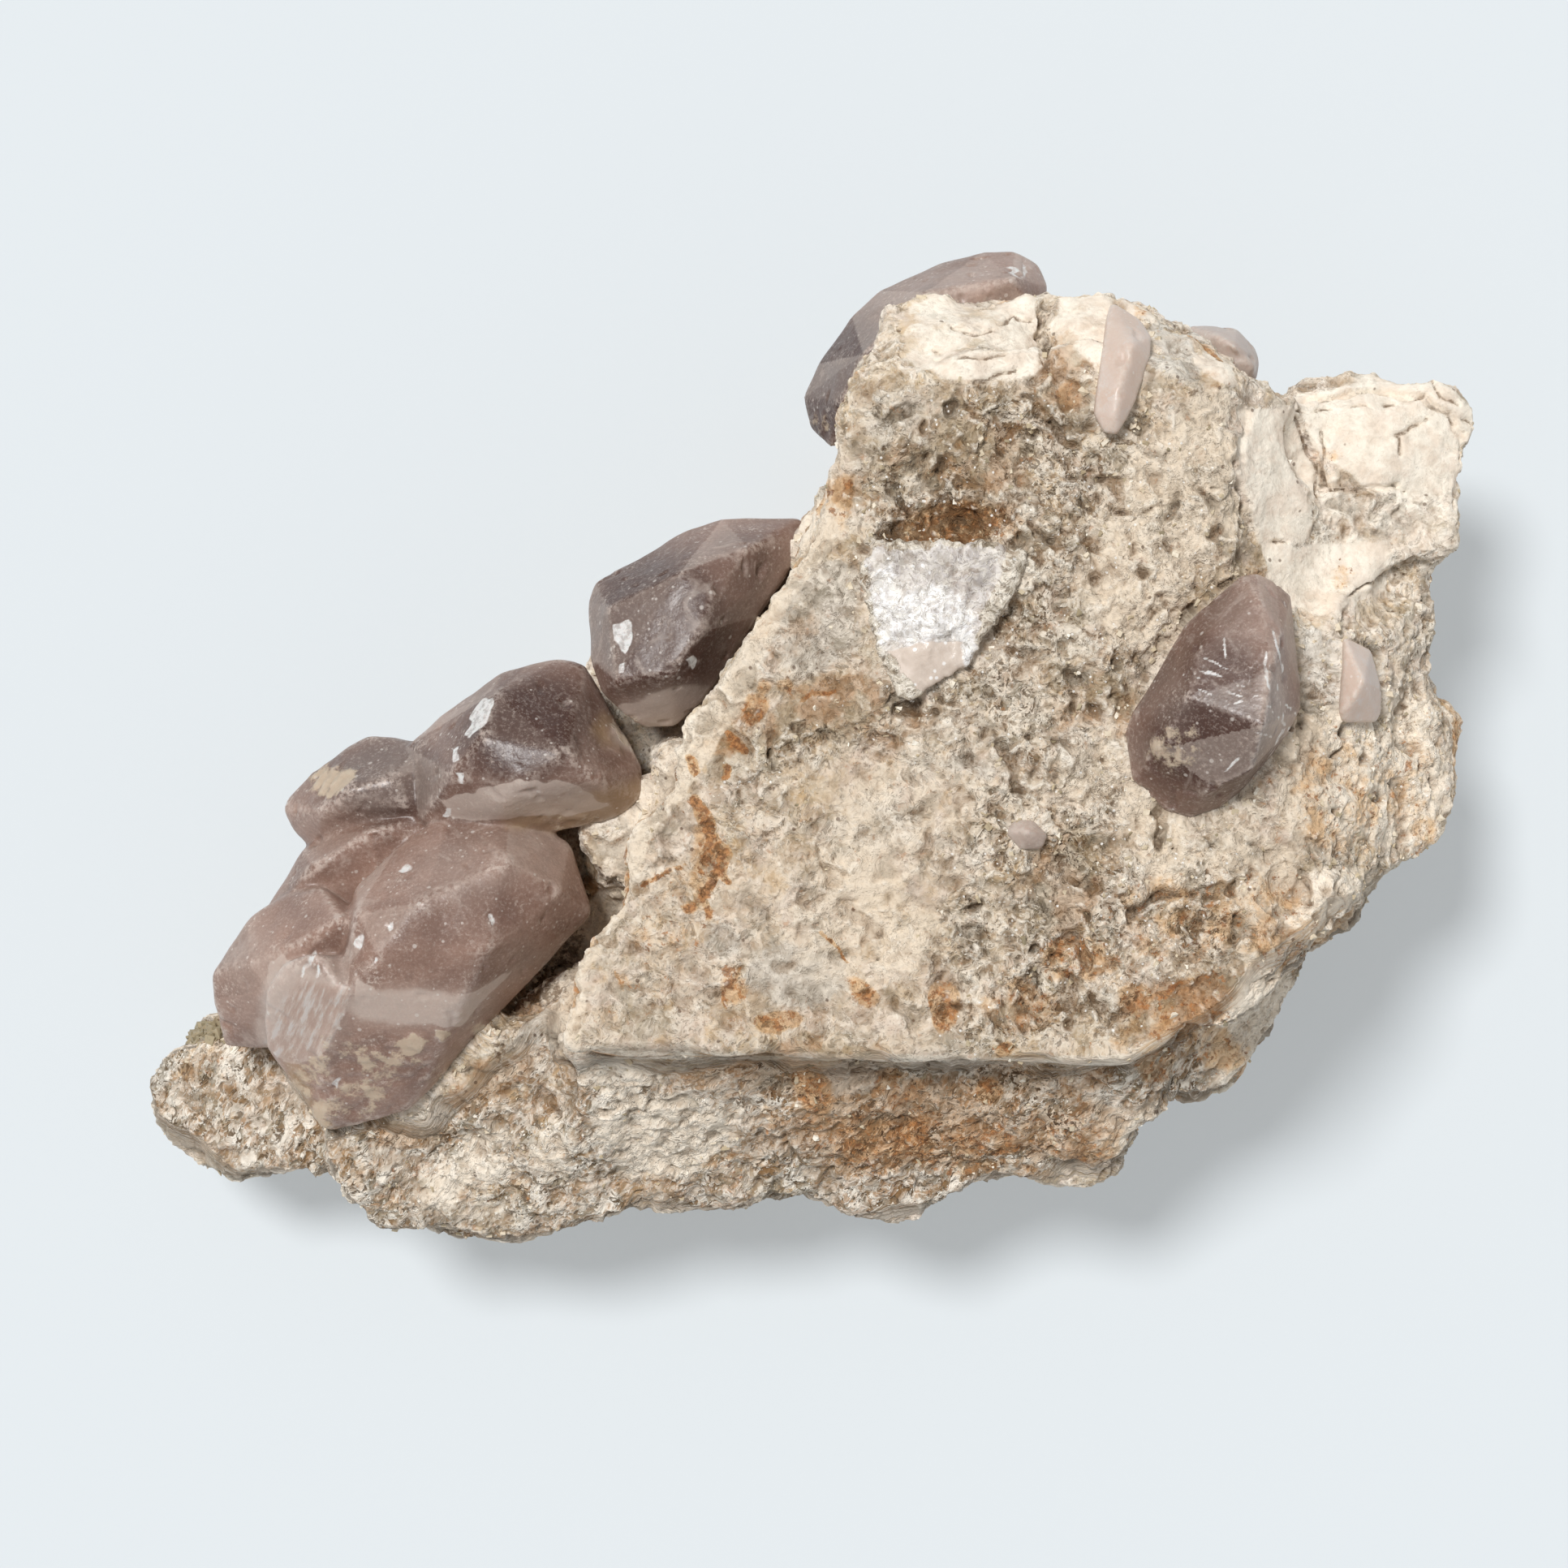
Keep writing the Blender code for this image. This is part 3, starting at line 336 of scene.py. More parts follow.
# How far the solid's straight ledge is moved down the picture: places along it and pixels.
LEDGE_SHIFT = ((668, 690, 720, 800, 900, 1000, 1050, 1100, 1150, 1200, 1300, 1390, 1430, 1450),
               (0, 36, 24, 18, 24, 20, 4, 0, 15, 24, 20, 20, 4, 0))
# The slab just below the ledge, the line that its step follows, and the lip itself.
LEDGE_FOOT = [(700, 1272), (1390, 1276), (1432, 1252), (1560, 1160), (1640, 1080), (1760, 1200), (1560, 1420),
              (1300, 1560), (700, 1560)]
LEDGE_LINE = [(690, 1292), (1392, 1302), (1440, 1272), (1560, 1178), (1640, 1090)]
LEDGE = [(676, 1286), (760, 1294), (900, 1298), (1100, 1301), (1250, 1304), (1396, 1306)]
# Worn grooves between plates.
GROOVES = [
    ([(1297, 352), (1292, 380), (1284, 410), (1290, 440), (1276, 470)], 9, 0.9),
    ([(1606, 494), (1650, 486), (1700, 480), (1740, 486), (1786, 506)], 6, 0.7),
    ([(1786, 506), (1800, 530), (1812, 560), (1808, 590)], 6, 0.5),
    ([(1622, 560), (1628, 600), (1660, 604), (1720, 600)], 6, 0.5),
    ([(1655, 760), (1652, 820), (1650, 886)], 6, 0.5),
    ([(1536, 505), (1530, 560), (1532, 620), (1540, 664)], 7, 0.5),
]


def smooth(value, low, high):
    """0 below low, 1 above high, and an even curve between."""
    part = np.clip((value - low) / (high - low), 0.0, 1.0)
    return part * part * (3 - 2 * part)


def seen_place(points):
    """Where points in metres are seen in the picture, in its pixels."""
    scale = FOCAL / (EYE.z - points[:, 2])
    return np.stack([MIDDLE + (points[:, 0] - EYE.x) * scale, MIDDLE - (points[:, 1] - EYE.y) * scale], axis=1)


def spots(place, listed):
    """The strongest of several soft ovals."""
    best = np.zeros(len(place))
    for x, y, long_side, short_side, turn, strength in listed:
        reach = 1.5 * max(long_side, short_side)
        near = np.flatnonzero((np.abs(place[:, 0] - x) < reach) & (np.abs(place[:, 1] - y) < reach))
        turned = math.radians(turn)
        across, up = place[near, 0] - x, y - place[near, 1]
        along = (across * math.cos(turned) + up * math.sin(turned)) / long_side
        beside = (up * math.cos(turned) - across * math.sin(turned)) / short_side
        best[near] = np.maximum(best[near], strength * smooth(1.5 - np.hypot(along, beside), 0.0, 0.95))
    return best


def close_to(place, points, reach):
    """The places within reach of the upright frame around the points."""
    low, high = np.min(points, axis=0) - reach, np.max(points, axis=0) + reach
    return np.flatnonzero(((place > low) & (place < high)).all(axis=1))


def from_stretch(place, start, end):
    """Distance of each place from a straight stretch."""
    start, end = np.array(start, float), np.array(end, float)
    way = end - start
    part = np.clip(((place - start) @ way) / max(way @ way, 1e-9), 0.0, 1.0)
    return np.hypot(*(place - start - part[:, None] * way).T)


def stroke(place, points, width):
    """1 on a line through the points, fading out over its width."""
    drawn = np.zeros(len(place))
    near = close_to(place, points, width)
    if len(near):
        gap = np.min([from_stretch(place[near], a, b) for a, b in zip(points, points[1:])], axis=0)
        drawn[near] = 1.0 - smooth(gap, width * 0.35, width)
    return drawn


def strokes(place, listed):
    """The strongest of several lines: points, width and strength."""
    return np.max([strength * stroke(place, points, width) for points, width, strength in listed], axis=0)


def zone(place, outline, soft):
    """1 inside a closed outline and 0 outside, with a soft edge."""
    filled = np.zeros(len(place))
    near = close_to(place, outline, soft)
    if not len(near):
        return filled
    x, y = place[near].T
    inside = np.zeros(len(near), bool)
    gap = np.full(len(near), 1e9)
    for (ax, ay), (bx, by) in zip(outline, outline[1:] + outline[:1]):
        crosses = (ay > y) != (by > y)
        inside ^= crosses & (x < (bx - ax) * (y - ay) / (by - ay + 1e-9) + ax)
        gap = np.minimum(gap, from_stretch(place[near], (ax, ay), (bx, by)))
    filled[near] = smooth(np.where(inside, gap, -gap), -soft, soft)
    return filled


def zones(place, outlines, soft):
    """1 inside any of several closed outlines."""
    return np.max([zone(place, outline, soft) for outline in outlines], axis=0)


def waves(points, size):
    """Two random waves at each point, whose blotches have the given size in metres."""
    return np.array([noise.noise_vector(Vector(p)) for p in points / size])[:, :2]


# ---------------------------------------------------------------- mesh helpers


def merged_copy(node):
    """A closed, welded copy of a CAD node's mesh."""
    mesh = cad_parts[node].data.copy()
    mesh.materials.clear()
    work = bmesh.new()
    work.from_mesh(mesh)
    bmesh.ops.remove_doubles(work, verts=work.verts, dist=1e-6)
    work.to_mesh(mesh)
    work.free()
    return mesh


def show(name, mesh, slot, *nodes):
    """Puts a finished mesh in the scene as a piece."""
    made = bpy.data.objects.new(name, mesh)
    bpy.context.scene.collection.objects.link(made)
    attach(made, "root")
    if nodes:
        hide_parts(*nodes)
    return made


def reworked(mesh, kind, **settings):
    """The mesh as one modifier leaves it."""
    holder = bpy.data.objects.new("holder", mesh)
    bpy.context.scene.collection.objects.link(holder)
    weights = settings.pop("weights", None)
    if weights is not None:
        group = holder.vertex_groups.new(name="keep")
        for step in range(11):
            chosen = np.flatnonzero(np.round(weights * 10) == step)
            if len(chosen):
                group.add(chosen.tolist(), step / 10, "REPLACE")
        settings["vertex_group"] = "keep"
    modifier = holder.modifiers.new(kind.title(), kind)
    for key, value in settings.items():
        setattr(modifier, key, value)
    seen = bpy.context.evaluated_depsgraph_get()
    made = bpy.data.meshes.new_from_object(holder.evaluated_get(seen))
    bpy.data.objects.remove(holder)
    bpy.data.meshes.remove(mesh)
    return made


def smoothed(mesh, rounds):
    """Rounds the mesh off, one round after another."""
    work = bmesh.new()
    work.from_mesh(mesh)
    for _ in range(rounds):
        bmesh.ops.smooth_vert(work, verts=work.verts, factor=0.5, use_axis_x=True, use_axis_y=True, use_axis_z=True)
    work.to_mesh(mesh)
    work.free()


def points_of(mesh):
    """The vertices' places, one row each."""
    found = np.empty(len(mesh.vertices) * 3)
    mesh.vertices.foreach_get("co", found)
    return found.reshape(-1, 3)


def normals_of(mesh):
    """The vertices' normals, one row each."""
    found = np.empty(len(mesh.vertices) * 3, np.float32)
    mesh.vertex_normals.foreach_get("vector", found)
    return found.reshape(-1, 3).astype(float)


def put_points(mesh, points):
    """Moves the vertices to the given places."""
    mesh.vertices.foreach_set("co", points.ravel())
    mesh.update()


def keep_mask(mesh, name, values):
    """Keeps a value from 0 to 1 for each vertex, for the material to read."""
    layer = mesh.attributes.new(name, "FLOAT", "POINT")
    layer.data.foreach_set("value", np.clip(values, 0, 1).astype(np.float32))


def mask_of(mesh, name):
    """The values of a kept mask."""
    found = np.empty(len(mesh.vertices), np.float32)
    mesh.attributes[name].data.foreach_get("value", found)
    return found.astype(float)


def hollows(mesh, rounds):
    """How far each vertex lies below its smoothed surroundings, in metres."""
    points = points_of(mesh)
    edges = np.empty(len(mesh.edges) * 2, np.int64)
    mesh.edges.foreach_get("vertices", edges)
    first, second = edges.reshape(-1, 2).T
    count = np.maximum(np.bincount(edges, minlength=len(points)), 1)[:, None]
    soft = points.copy()
    for _ in range(rounds):
        total = np.zeros_like(soft)
        for axis in range(3):
            total[:, axis] = (np.bincount(first, soft[second, axis], len(points))
                              + np.bincount(second, soft[first, axis], len(points)))
        soft = total / count
    return ((soft - points) * normals_of(mesh)).sum(axis=1)


def smooth_faces(mesh):
    """Shades all faces smoothly."""
    mesh.polygons.foreach_set("use_smooth", np.ones(len(mesh.polygons), bool))


def crystal_tree():
    """A search tree over all crystals, to close the gap between rock and crystal."""
    work = bmesh.new()
    for node in MAUVE_NODES + SLIVER_NODES + ("spar_white",):
        work.from_mesh(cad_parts[node].data)
    tree = BVHTree.FromBMesh(work)
    work.free()
    return tree


# ---------------------------------------------------------------- shader helpers


def put(tree, kind, inputs=None, **settings):
    """Adds a shader node, sets it up and feeds its inputs with values or with other sockets."""
    made = tree.nodes.new(kind)
    for key, value in settings.items():
        setattr(made, key, value)
    for key, value in (inputs or {}).items():
        if isinstance(value, bpy.types.NodeSocket):
            tree.links.new(value, made.inputs[key])
        else:
            made.inputs[key].default_value = value
    return made


def calc(tree, operation, first, second=0.0, third=0.0):
    """A Math node's result."""
    return put(tree, "ShaderNodeMath", {0: first, 1: second, 2: third}, operation=operation).outputs[0]


def vector_calc(tree, operation, first, second):
    """A Vector Math node's result."""
    made = put(tree, "ShaderNodeVectorMath", {0: first, 1: second}, operation=operation)
    return made.outputs["Value" if operation == "DOT_PRODUCT" else "Vector"]


def ease(tree, value, low, high, start=0.0, end=1.0):
    made = put(tree, "ShaderNodeMapRange", {0: value, 1: low, 2: high, 3: start, 4: end})
    made.interpolation_type = "SMOOTHSTEP"
    return made.outputs[0]


def blend(tree, amount, first, second, mode="MIX"):
    """The second colour over the first by an amount from 0 to 1."""
    made = put(tree, "ShaderNodeMix", data_type="RGBA", blend_type=mode)
    for key, value in ((0, amount), (6, first), (7, second)):
        if isinstance(value, bpy.types.NodeSocket):
            tree.links.new(value, made.inputs[key])
        else:
            made.inputs[key].default_value = value if key == 0 else (*value[:3], 1.0)
    return made.outputs[2]


def cloud(tree, vector, size, detail=3.0, roughness=0.55):
    """Noise whose blotches are about size millimetres across."""
    return put(tree, "ShaderNodeTexNoise", {
        "Vector": vector, "Scale": 1000.0 / size, "Detail": detail, "Roughness": roughness}).outputs["Fac"]


def mask(tree, name):
    """Reads a kept mask in a material."""
    return put(tree, "ShaderNodeAttribute", attribute_name=name).outputs["Fac"]


def new_group(name, inputs, outputs):
    """An empty shader group with its sockets: pairs of a name and a type."""
    group = bpy.data.node_groups.new(name, "ShaderNodeTree")
    for way, listed in (("INPUT", inputs), ("OUTPUT", outputs)):
        for label, kind in listed:
            group.interface.new_socket(name=label, in_out=way, socket_type=kind)
    return group, group.nodes.new("NodeGroupInput").outputs, group.nodes.new("NodeGroupOutput").inputs


def crumble_group(powder_and_highlight):
    """Tangled, powdery crumbs over a base colour, with painted shade in their valleys and pits and a painted highlight
    on their crests: their colour and their height.
    """
    if "Crumble" in bpy.data.node_groups:
        return bpy.data.node_groups["Crumble"]
    group, given, wanted = new_group(
        "Crumble", [("Vector", "NodeSocketVector"), ("Base", "NodeSocketColor"), ("Amount", "NodeSocketFloat")],
        [("Color", "NodeSocketColor"), ("Height", "NodeSocketFloat")])
    wave = put(group, "ShaderNodeTexNoise", {"Vector": given["Vector"], "Scale": 420.0, "Detail": 1.0})
    centred = vector_calc(group, "SUBTRACT", wave.outputs["Color"], (0.5, 0.5, 0.5))
    push = put(group, "ShaderNodeVectorMath", {0: centred, "Scale": 0.0022}, operation="SCALE")
    warped = vector_calc(group, "ADD", given["Vector"], push.outputs["Vector"])
    ridges = []
    for scale, detail in ((430.0, 3.0), (1350.0, 2.0)):
        raw = put(group, "ShaderNodeTexNoise", {
            "Vector": warped, "Scale": scale, "Detail": detail, "Roughness": 0.6, "Lacunarity": 2.1,
            "Offset": 1.0, "Gain": 2.0}, noise_type="RIDGED_MULTIFRACTAL").outputs["Fac"]
        ridges.append(put(group, "ShaderNodeMapRange", {0: raw, 1: 0.4, 2: 2.0}).outputs[0])
    coarse, fine = ridges
    hue = cloud(group, given["Vector"], 2.6, 3.0, 0.6)
    # The dark colour of some grains, also used as the painted shade of the valleys.
    dark_grain_and_shade = blend(group, ease(group, hue, 0.42, 0.6), shade(136, 124, 102), shade(130, 98, 60))
    colour_ = given["Base"]
    # Valleys get painted shade, and crests a painted highlight.
    for ridge, low, dark, high, pale in ((coarse, 0.42, 0.75, 0.56, 0.6), (fine, 0.44, 0.5, 0.56, 0.5)):
        valley = calc(group, "MULTIPLY", ease(group, ridge, low, low - 0.3, 0.0, dark), given["Amount"])
        crest = calc(group, "MULTIPLY", ease(group, ridge, high, high + 0.3, 0.0, pale), given["Amount"])
        colour_ = blend(group, valley, colour_, dark_grain_and_shade)
        colour_ = blend(group, crest, colour_, powder_and_highlight)
    height = calc(group, "ADD", calc(group, "MULTIPLY", coarse, 0.45), calc(group, "MULTIPLY", fine, 0.25))
    for scale, strength in ((560.0, 0.5), (1500.0, 0.5)):
        cells = put(group, "ShaderNodeTexVoronoi", {"Vector": warped, "Scale": scale})
        tint = put(group, "ShaderNodeSeparateColor", {0: cells.outputs["Color"]}).outputs[0]
        dark = calc(group, "MULTIPLY", ease(group, tint, 0.3, 0.14, 0.0, strength), given["Amount"])
        light = calc(group, "MULTIPLY", ease(group, tint, 0.7, 0.88, 0.0, strength), given["Amount"])
        colour_ = blend(group, dark, colour_, dark_grain_and_shade)
        colour_ = blend(group, light, colour_, powder_and_highlight)
        lean = vector_calc(group, "SUBTRACT", cells.outputs["Color"], (0.5, 0.5, 0.5))
        inside = vector_calc(group, "SUBTRACT", warped, cells.outputs["Position"])
        tilt = calc(group, "MULTIPLY", vector_calc(group, "DOT_PRODUCT", lean, inside), scale)
        height = calc(group, "ADD", height, calc(group, "MULTIPLY", tilt, 560.0 * 0.9 / scale))
    # Tiny pits with painted shade, and bright crumbs.
    pits = ease(group, cloud(group, warped, 0.75, 2.0, 0.75), 0.44, 0.36)
    colour_ = blend(group, calc(group, "MULTIPLY", pits, calc(group, "MULTIPLY", given["Amount"], 0.8)), colour_,
                    shade(104, 84, 60))
    bits = ease(group, cloud(group, given["Vector"], 0.6, 2.0, 0.75), 0.57, 0.66)
    colour_ = blend(group, calc(group, "MULTIPLY", bits, calc(group, "MULTIPLY", given["Amount"], 0.8)), colour_,
                    powder_and_highlight)
    height = calc(group, "ADD", height, calc(group, "MULTIPLY", calc(group, "SUBTRACT", bits, pits), 0.35))
    group.links.new(colour_, wanted["Color"])
    group.links.new(calc(group, "MULTIPLY", height, given["Amount"]), wanted["Height"])
    return group


def stain_group():
    """Turns a soft mask into a ragged stain with blotches of its own."""
    if "Stain" in bpy.data.node_groups:
        return bpy.data.node_groups["Stain"]
    group, given, wanted = new_group(
        "Stain", [("Mask", "NodeSocketFloat"), ("Vector", "NodeSocketVector"), ("Scale", "NodeSocketFloat"),
                  ("Ragged", "NodeSocketFloat"), ("Level", "NodeSocketFloat")], [("Mask", "NodeSocketFloat")])
    rough = put(group, "ShaderNodeTexNoise", {
        "Vector": given["Vector"], "Scale": given["Scale"], "Detail": 4.0, "Roughness": 0.7})
    drift = calc(group, "MULTIPLY", calc(group, "SUBTRACT", rough.outputs["Fac"], 0.5), given["Ragged"])
    raw = calc(group, "ADD", given["Mask"], drift)
    low = calc(group, "SUBTRACT", given["Level"], 0.12)
    high = calc(group, "ADD", given["Level"], 0.2)
    group.links.new(ease(group, raw, low, high), wanted["Mask"])
    return group


def speck_group():
    """Small round specks in some of the cells."""
    if "Specks" in bpy.data.node_groups:
        return bpy.data.node_groups["Specks"]
    group, given, wanted = new_group(
        "Specks", [("Vector", "NodeSocketVector"), ("Scale", "NodeSocketFloat"), ("Share", "NodeSocketFloat"),
                   ("Size", "NodeSocketFloat")], [("Mask", "NodeSocketFloat")])
    cells = put(group, "ShaderNodeTexVoronoi", {"Vector": given["Vector"], "Scale": given["Scale"]})
    chance = put(group, "ShaderNodeSeparateColor", {0: cells.outputs["Color"]}).outputs[1]
    picked = calc(group, "LESS_THAN", chance, given["Share"])
    edge = calc(group, "MULTIPLY", given["Size"], 0.6)
    dot = ease(group, cells.outputs["Distance"], edge, given["Size"], 1.0, 0.0)
    group.links.new(calc(group, "MULTIPLY", picked, dot), wanted["Mask"])
    return group


def use_group(tree, group, **inputs):
    """Places a shader group with its own values and returns its outputs."""
    made = put(tree, "ShaderNodeGroup", node_tree=group)
    for key, value in inputs.items():
        if isinstance(value, bpy.types.NodeSocket):
            tree.links.new(value, made.inputs[key])
        else:
            made.inputs[key].default_value = value
    return made.outputs


def new_material(name):
    """A material with a Principled surface: its tree, the surface and the object's own coordinates."""
    made = bpy.data.materials.new(name)
    made.use_nodes = True
    tree = made.node_tree
    surface = tree.nodes["Principled BSDF"]
    return made, tree, surface, put(tree, "ShaderNodeTexCoord").outputs["Object"]


# ---------------------------------------------------------------- the rock


def cell_relief(place):
    """Tilted crumbs in random cells, from about -0.6 to 0.6, for a place in cell sizes."""
    gaps, centres = noise.voronoi(place)
    lean = noise.noise_vector(centres[0] * 7.3)
    rise = noise.noise(centres[0] * 3.1)
    crevice = max(0.0, 1.0 - (gaps[1] - gaps[0]) * 5.0)
    return rise * 0.7 + (place - centres[0]).dot(lean) * 1.1 - crevice * 0.3


def rock_masks(points, normals):
    """Named masks over the rock, from where each point is seen and how it faces."""
    sight = np.array(EYE) - points
    facing = (normals * sight).sum(axis=1) / np.linalg.norm(sight, axis=1)
    front = smooth(facing, 0.02, 0.3)
    seen = np.flatnonzero(front > 0)
    place = seen_place(points[seen])
    wide, fine = waves(points[seen], 0.006), waves(points[seen], 0.0019)
    near, ragged = place + 16 * wide, place + 9 * wide + 6 * fine
    plates = zones(ragged, CHALK_PLATES, 6)
    chalk_and_lit_edges = np.maximum(plates, spots(near, CHALK_SPOTS))
    # The chalk mask also carries the painted highlights of the lit edges.
    chalk_and_lit_edges = np.maximum(chalk_and_lit_edges, np.maximum(0.6 * zone(ragged, LOWER_WING, 10), strokes(place, LIT_EDGE_HIGHLIGHTS)))
    cracked = np.max([stroke(place + 5 * fine, line, 2.8) for line in CRACKS], axis=0)
    found = {
        "face": zone(place, BROKEN_FACE, 8),
        "sugary": np.maximum(zone(near, SUGARY, 42), 0.65 * zone(near, SHOULDER, 30)),
        "slab": np.maximum(zone(near, SLAB, 12), zone(near, LOBE, 12)),
        "plates": plates,
        "chalk_and_lit_edges": chalk_and_lit_edges * smooth(normals[seen, 2], 0.0, 0.4) * (1 - spots(near, DIM_CHALK)),
        "grey": spots(near, GREY_SPOTS),
        "iron": np.maximum(0.8 * spots(near, IRON_SPOTS), strokes(place + 6 * fine, IRON_LINES)),
        "rust": np.maximum(spots(ragged, RUST_SPOTS), 0.55 * strokes(place + 6 * fine, IRON_LINES)),
        "cracks": cracked * smooth(wide[:, 0] + fine[:, 1], -0.5, 0.1),
        "grooves": strokes(ragged, GROOVES),
        "light": np.maximum(spots(near, PALE_AND_LIT_SPOTS), strokes(near, LIT_BEVEL_BAND)),
        "olive_and_shade": spots(near, DULL_AND_SHADED_SPOTS),
        "spar": zone(ragged, SPAR_RIM, 30),
    }
    masks = {"front": front, "side": 1.0 - front}
    for name, values in found.items():
        masks[name] = np.zeros(len(points))
        masks[name][seen] = values * front[seen]
    return masks


def split_front(mesh):
    """Splits the triangles that face the camera in four, for a finer skin there."""
    sight = np.array(EYE) - points_of(mesh)
    towards = (normals_of(mesh) * sight).sum(axis=1) > 0.03
    work = bmesh.new()
    work.from_mesh(mesh)
    bmesh.ops.triangulate(work, faces=work.faces)
    work.verts.ensure_lookup_table()
    chosen = [e for e in work.edges if towards[e.verts[0].index] and towards[e.verts[1].index]]
    bmesh.ops.subdivide_edges(work, edges=chosen, cuts=1, use_grid_fill=True)
    bmesh.ops.triangulate(work, faces=[f for f in work.faces if len(f.verts) > 3])
    work.to_mesh(mesh)
    work.free()


def settle_ledge(mesh):
    """Draws the ledge's lip straight and fills the corner below it, so that its step is low."""
    points, normals = points_of(mesh), normals_of(mesh)
    x, y = seen_place(points).T
    height = points[:, 2] / MM
    shift = np.interp(x, *LEDGE_SHIFT) * smooth(y, 1170, 1262) * smooth(-y, -1318, -1306) * smooth(height, 45.5, 48.5)
    points[:, 1] -= shift * (EYE.z - points[:, 2]) / FOCAL
    place = np.stack([x, y], axis=1)
    away = np.min([from_stretch(place, a, b) for a, b in zip(LEDGE_LINE, LEDGE_LINE[1:])], axis=0)
    rise = LEDGE_RISE * np.clip(1 - away / LEDGE_FADE, 0, 1) * zone(place, LEDGE_FOOT, 16) * (normals[:, 2] > -0.3)
    points[:, 2] += MM * rise * smooth(height, 16, 34) * np.clip((59 - height) / 14, 0, 1)
    put_points(mesh, points)


def relief(points, seen):
    """Soft lumps, tangled crumbs, fine flakes, holes and broken chunks at each point, each about -1 to 1."""
    found = np.zeros((5, len(points)))
    for index, (x, y, z) in enumerate(points / MM):
        spot = Vector((x, y, z))
        bent = spot + noise.noise_vector(spot / 1.9) * 0.8
        torn = spot + noise.noise_vector(spot / 2.8) * 1.7
        found[0, index] = noise.fractal(spot / 7.0, 0.9, 2.1, 3)
        found[1, index] = noise.ridged_multi_fractal(bent / 2.7, 0.9, 2.1, 3, 1.0, 1.6) - 1.0
        found[3, index] = noise.noise(torn / 2.3 + Vector((40, 7, 3))) + 0.7 * noise.noise(spot / 8.5)
        found[4, index] = cell_relief(bent / 2.9)
        if seen[index]:
            found[2, index] = cell_relief(torn / 1.15)
    return found


def carve_rock(mesh, settings):
    """Moves the skin in and out: lumps, crumbs, pits, cracks and the seam with each crystal; returns the masks."""
    points, normals = points_of(mesh), normals_of(mesh)
    masks = rock_masks(points, normals)
    lumps, crumbs, flakes, holes, chunks = relief(points, masks["front"] > 0)
    plates, slab = masks["plates"], masks["slab"]
    ledge = stroke(seen_place(points), LEDGE, 70) * smooth(points[:, 2], 0.05, 0.053)
    ledge *= smooth(-normals[:, 1], -0.3, 0.5)
    uneven = np.max([masks["sugary"], 0.42 * slab, 0.7 * masks["side"], 0.5 * masks["front"]], axis=0)
    uneven *= (1 - 0.85 * plates) * (1 - 0.9 * ledge)
    smooth_part = 1 - 0.6 * masks["grey"] - 0.7 * masks["spar"]
    push = lumps * settings.lump_height * (0.4 + 0.6 * uneven)
    push += crumbs * settings.crumb_height * (0.1 + 0.9 * uneven) * smooth_part
    push += flakes * settings.flake_height * (0.2 + 0.8 * uneven) * smooth_part
    push += chunks * settings.chunk_height * uneven
    push -= smooth(holes, 0.3, 0.6) * settings.pit_depth * uneven
    push -= masks["cracks"] * settings.crack_depth + masks["grooves"] * settings.groove_depth
    push -= masks["rust"] * 0.0005 * masks["sugary"]
    push = push * (1 - 0.7 * ledge) + 0.0004 * ledge
    height = crumbs + 0.9 * chunks + 0.4 * lumps - 1.2 * smooth(holes, 0.3, 0.55)
    # Where the relief is low and high, for painted shade and a painted highlight.
    masks["basin"] = smooth(-height, 0.25, 0.95) * np.clip(1.3 * uneven, 0, 1)
    masks["summit"] = smooth(height, 0.25, 0.95) * np.clip(1.3 * uneven, 0, 1)
    back = smooth(points[:, 2], 0.0004, 0.004)
    under = (normals[:, 2] < -0.9) & (points[:, 2] < 0.0012)
    push *= np.where(under, 0.0, back)
    moved = points + normals * push[:, None]
    moved[:, 2] = np.where(under, points[:, 2], moved[:, 2])
    tree = crystal_tree()
    low, high = np.array(CAD_BOX[0]), np.array(CAD_BOX[1])
    for index, point in enumerate(points):
        spot = tree.find_nearest(Vector(point), SEAM_REACH)[0]
        if spot is not None:
            moved[index] = np.array(Vector(point) + (spot - Vector(point)) * SEAM_PULL)
    put_points(mesh, np.clip(moved, low, high))
    return masks


